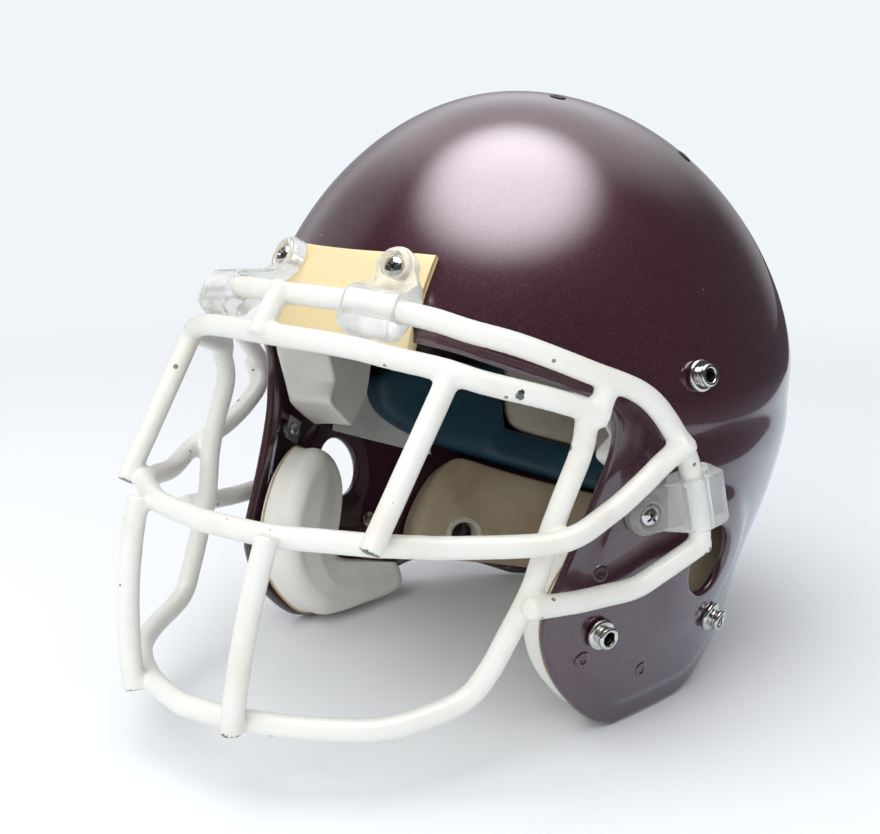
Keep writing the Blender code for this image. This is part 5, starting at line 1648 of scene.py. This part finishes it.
def paper_floor():
    """Pale floor that fades into the backdrop, with one dark side that only gloss mirrors."""
    material, tree = start_finish("paper_floor", Roughness=0.7, Specular_IOR_Level=0.1)
    here = places(tree)
    path = add_node(tree, "LightPath").outputs
    tone = effect(tree, "patches", Scale=3.0, Low=0.3, High=0.8)
    pale = mix_colour(tree, tone, (0.965, 0.985, 0.995), (0.95, 0.972, 0.985))
    dress(tree, Base_Color=mix_colour(tree, path["Is Glossy Ray"], pale, FLOOR_IN_GLOSS))
    reach = add_node(tree, "VectorMath", here, operation="LENGTH").outputs["Value"]
    seen = maths(tree, "MAXIMUM", path["Is Camera Ray"], path["Is Glossy Ray"])
    seen = maths(tree, "MAXIMUM", seen, path["Is Transmission Ray"])
    fade = maths(tree, "MULTIPLY", rising(tree, reach, *FLOOR_FADE), seen)
    aside = reach_along(tree, here, (math.cos(DARK_SIDE_TURN), math.sin(DARK_SIDE_TURN), 0.0))
    dark = maths(tree, "MULTIPLY", rising(tree, aside, *DARK_SIDE_START), path["Is Glossy Ray"])
    glow = add_node(tree, "Emission", Color=mix_colour(tree, dark, BACKDROP, DARK_SIDE))
    blend = add_node(tree, "MixShader", maths(tree, "MAXIMUM", fade, dark),
                     tree.nodes["Principled BSDF"].outputs["BSDF"], glow.outputs["Emission"])
    feed(tree, blend.outputs["Shader"], tree.nodes["Material Output"].inputs["Surface"])
    return material


def build_stage():
    """Pale floor, room, soft lamps and the camera."""
    deselect()
    bpy.ops.mesh.primitive_plane_add(size=14.0, location=(0.0, 0.0, -0.0002))
    floor = bpy.context.object
    floor.name = "floor"
    floor.data.materials.append(paper_floor())
    build_room()

    for name, (spot, aim, size) in SOFTBOXES.items():
        lamp = bpy.data.lights.new(name, "AREA")
        lamp.shape = "SQUARE"
        lamp.size = size
        lamp.energy = SOFTBOX_POWER
        holder = put(name, lamp)
        holder.location = spot
        holder.rotation_euler = (Vector(spot) - Vector(aim)).to_track_quat("Z", "Y").to_euler()
        holder.visible_glossy = False

    camera = bpy.data.cameras.new("camera")
    camera.lens = CAMERA_LENS
    camera.sensor_width = 36.0
    camera.clip_start = 0.01
    holder = put("camera", camera)
    holder.location = CAMERA_PLACE
    holder.rotation_euler = (math.radians(90.0 - CAMERA_PITCH), 0.0, math.radians(CAMERA_AZIMUTH))
    bpy.context.scene.camera = holder
    bpy.context.scene.view_settings.view_transform = "Standard"


# The helmet


def build_hardware(brow, relief):
    """Clips, screws, tee nuts, studs, posts and ports on their seats."""
    for name, (turn, level, rise, boss, lean) in CLIPS.items():
        matrix, away, stand = clip_frame(turn, level, brow, lean)
        clip = moved(clip_moulding(away, stand, rise, boss, lean), matrix)
        settle_pair(clip, f"{name}_moulding", "clear", name)
        screw = moved(pan_screw(rise + CLIP_THICKNESS + CLIP_SCREW_LIFT), matrix)
        settle_pair(screw, f"{name}_pan_screw", "nickel", f"{name}_screw")
        settle_pair(moved(tee_nut(), matrix), f"{name}_plate_nut", "zinc", f"{name}_tee_nut")

    for form, spots, kind, finish, node in (
        (strap_stud, STUD_PLACES, "strap_stud", "nickel", "stud"),
        (post_rivet, POST_PLACES, "post_rivet", "plum", "pad_post"),
    ):
        pattern = form()
        for name, (back, height) in spots.items():
            turn, level = turn_beside(back, height), level_at(height)
            piece = copy_at(pattern, seat(turn, level, relief.at(surface(turn, level))))
            settle_pair(piece, f"{name}_{kind}", finish, f"{name}_{node}")
        bpy.data.objects.remove(pattern, do_unlink=True)

    port = needle_port()
    for name, (across, back) in PORT_PLACES.items():
        piece = copy_at(port, seat(*angles_above(across, back)))
        settle(piece, f"{name}_needle_port", "black", f"{name}_valve_port")
    bpy.data.objects.remove(port, do_unlink=True)


def build_pads():
    """Pads, liner, vent rings and label on the shell's inner wall."""
    jaw = pad_form(side_points(JAW_PAD), side_points([JAW_PAD_CENTRE])[0], beside, OVER_NUTS,
                   depth=0.0212, edge=0.0186, slope=0.16, soft=0.0084)
    settle_pair(jaw, "jaw_cushion", "white", "jaw_pad", fill=0.8)
    settle_pair(jaw_seam(), "jaw_cushion_seam", "seam")
    temple = pad_form(side_points(TEMPLE_PAD), side_points([TEMPLE_PAD_CENTRE])[0], beside_temple,
                      OVER_NUTS, depth=TEMPLE_PAD_DEPTH, edge=0.0218, slope=0.10, soft=0.0014)
    settle_pair(temple, "temple_cushion", "white", "temple_pad", fill=0.8)

    forehead = band_form(FRONT, lambda height: 33.0, lambda share: 0.1605, lambda share: 0.1935,
                         OVER_NUTS, depth=0.0200, edge_share=0.55, dome=0.5, square=9)
    settle(forehead, "forehead_cushion", "white", "forehead_pad", fill=0.8)
    air = band_form(REAR, lambda height: AIR_HALF_TURN, air_foot, air_top, ON_WALL,
                    depth=0.0160, edge_share=0.35, dome=0.6, square=11)
    settle(air, "air_liner_band", "blue", "air_band", fill=0.9)
    settle(nape_form(), "nape_cushion", "tan", "nape_pad", fill=0.7)
    settle_pair(moved(vent_ring(), vent_seats()[0]), "nape_vent_ring", "beige")
    rear = band_form(REAR, lambda height: REAR_PAD_HALF_TURN, rear_pad_foot,
                     lambda share: 0.1430 + 0.017 * share * share, ON_WALL,
                     depth=0.0180, edge_share=0.5, dome=0.4, square=20)
    settle(rear, "rear_cushion", "beige", "rear_pad", fill=0.7)
    crown = pad_form(oval(CROWN_PAD_RADIUS, CROWN_PAD_RADIUS, 36), Vector((0.0, 0.0)), above,
                     ON_WALL + 0.0016, depth=0.0180, edge=0.0080, slope=0.50, soft=0.0050,
                     columns=96)
    settle(crown, "crown_cushion", "blue", "crown_pad", fill=0.9)
    settle(label_form(), "blank_label", "paper")


def main():
    """Build the stage and the helmet's pieces over the frame."""
    build_finishes()
    build_stage()
    shell, relief = build_shell()
    settle(shell, "moulded_shell", "plum", "shell")
    wholes, pairs = guard_curves()
    twins = [f"{wire}_{side}" for side in ("left", "right")
             for wire in ("lower_side_wire", "upright", "chin_upright", "side_strut")]
    settle(build_guard(wholes, pairs), "dipped_guard", "coat", "brow_wire", "eye_wire",
           "nose_wire", "chin_wire", "centre_strut", *twins)
    build_hardware(wholes["brow"], relief)
    settle(build_bumper(), "brow_pad_plate", "cream", "brow_bumper")
    build_pads()


main()
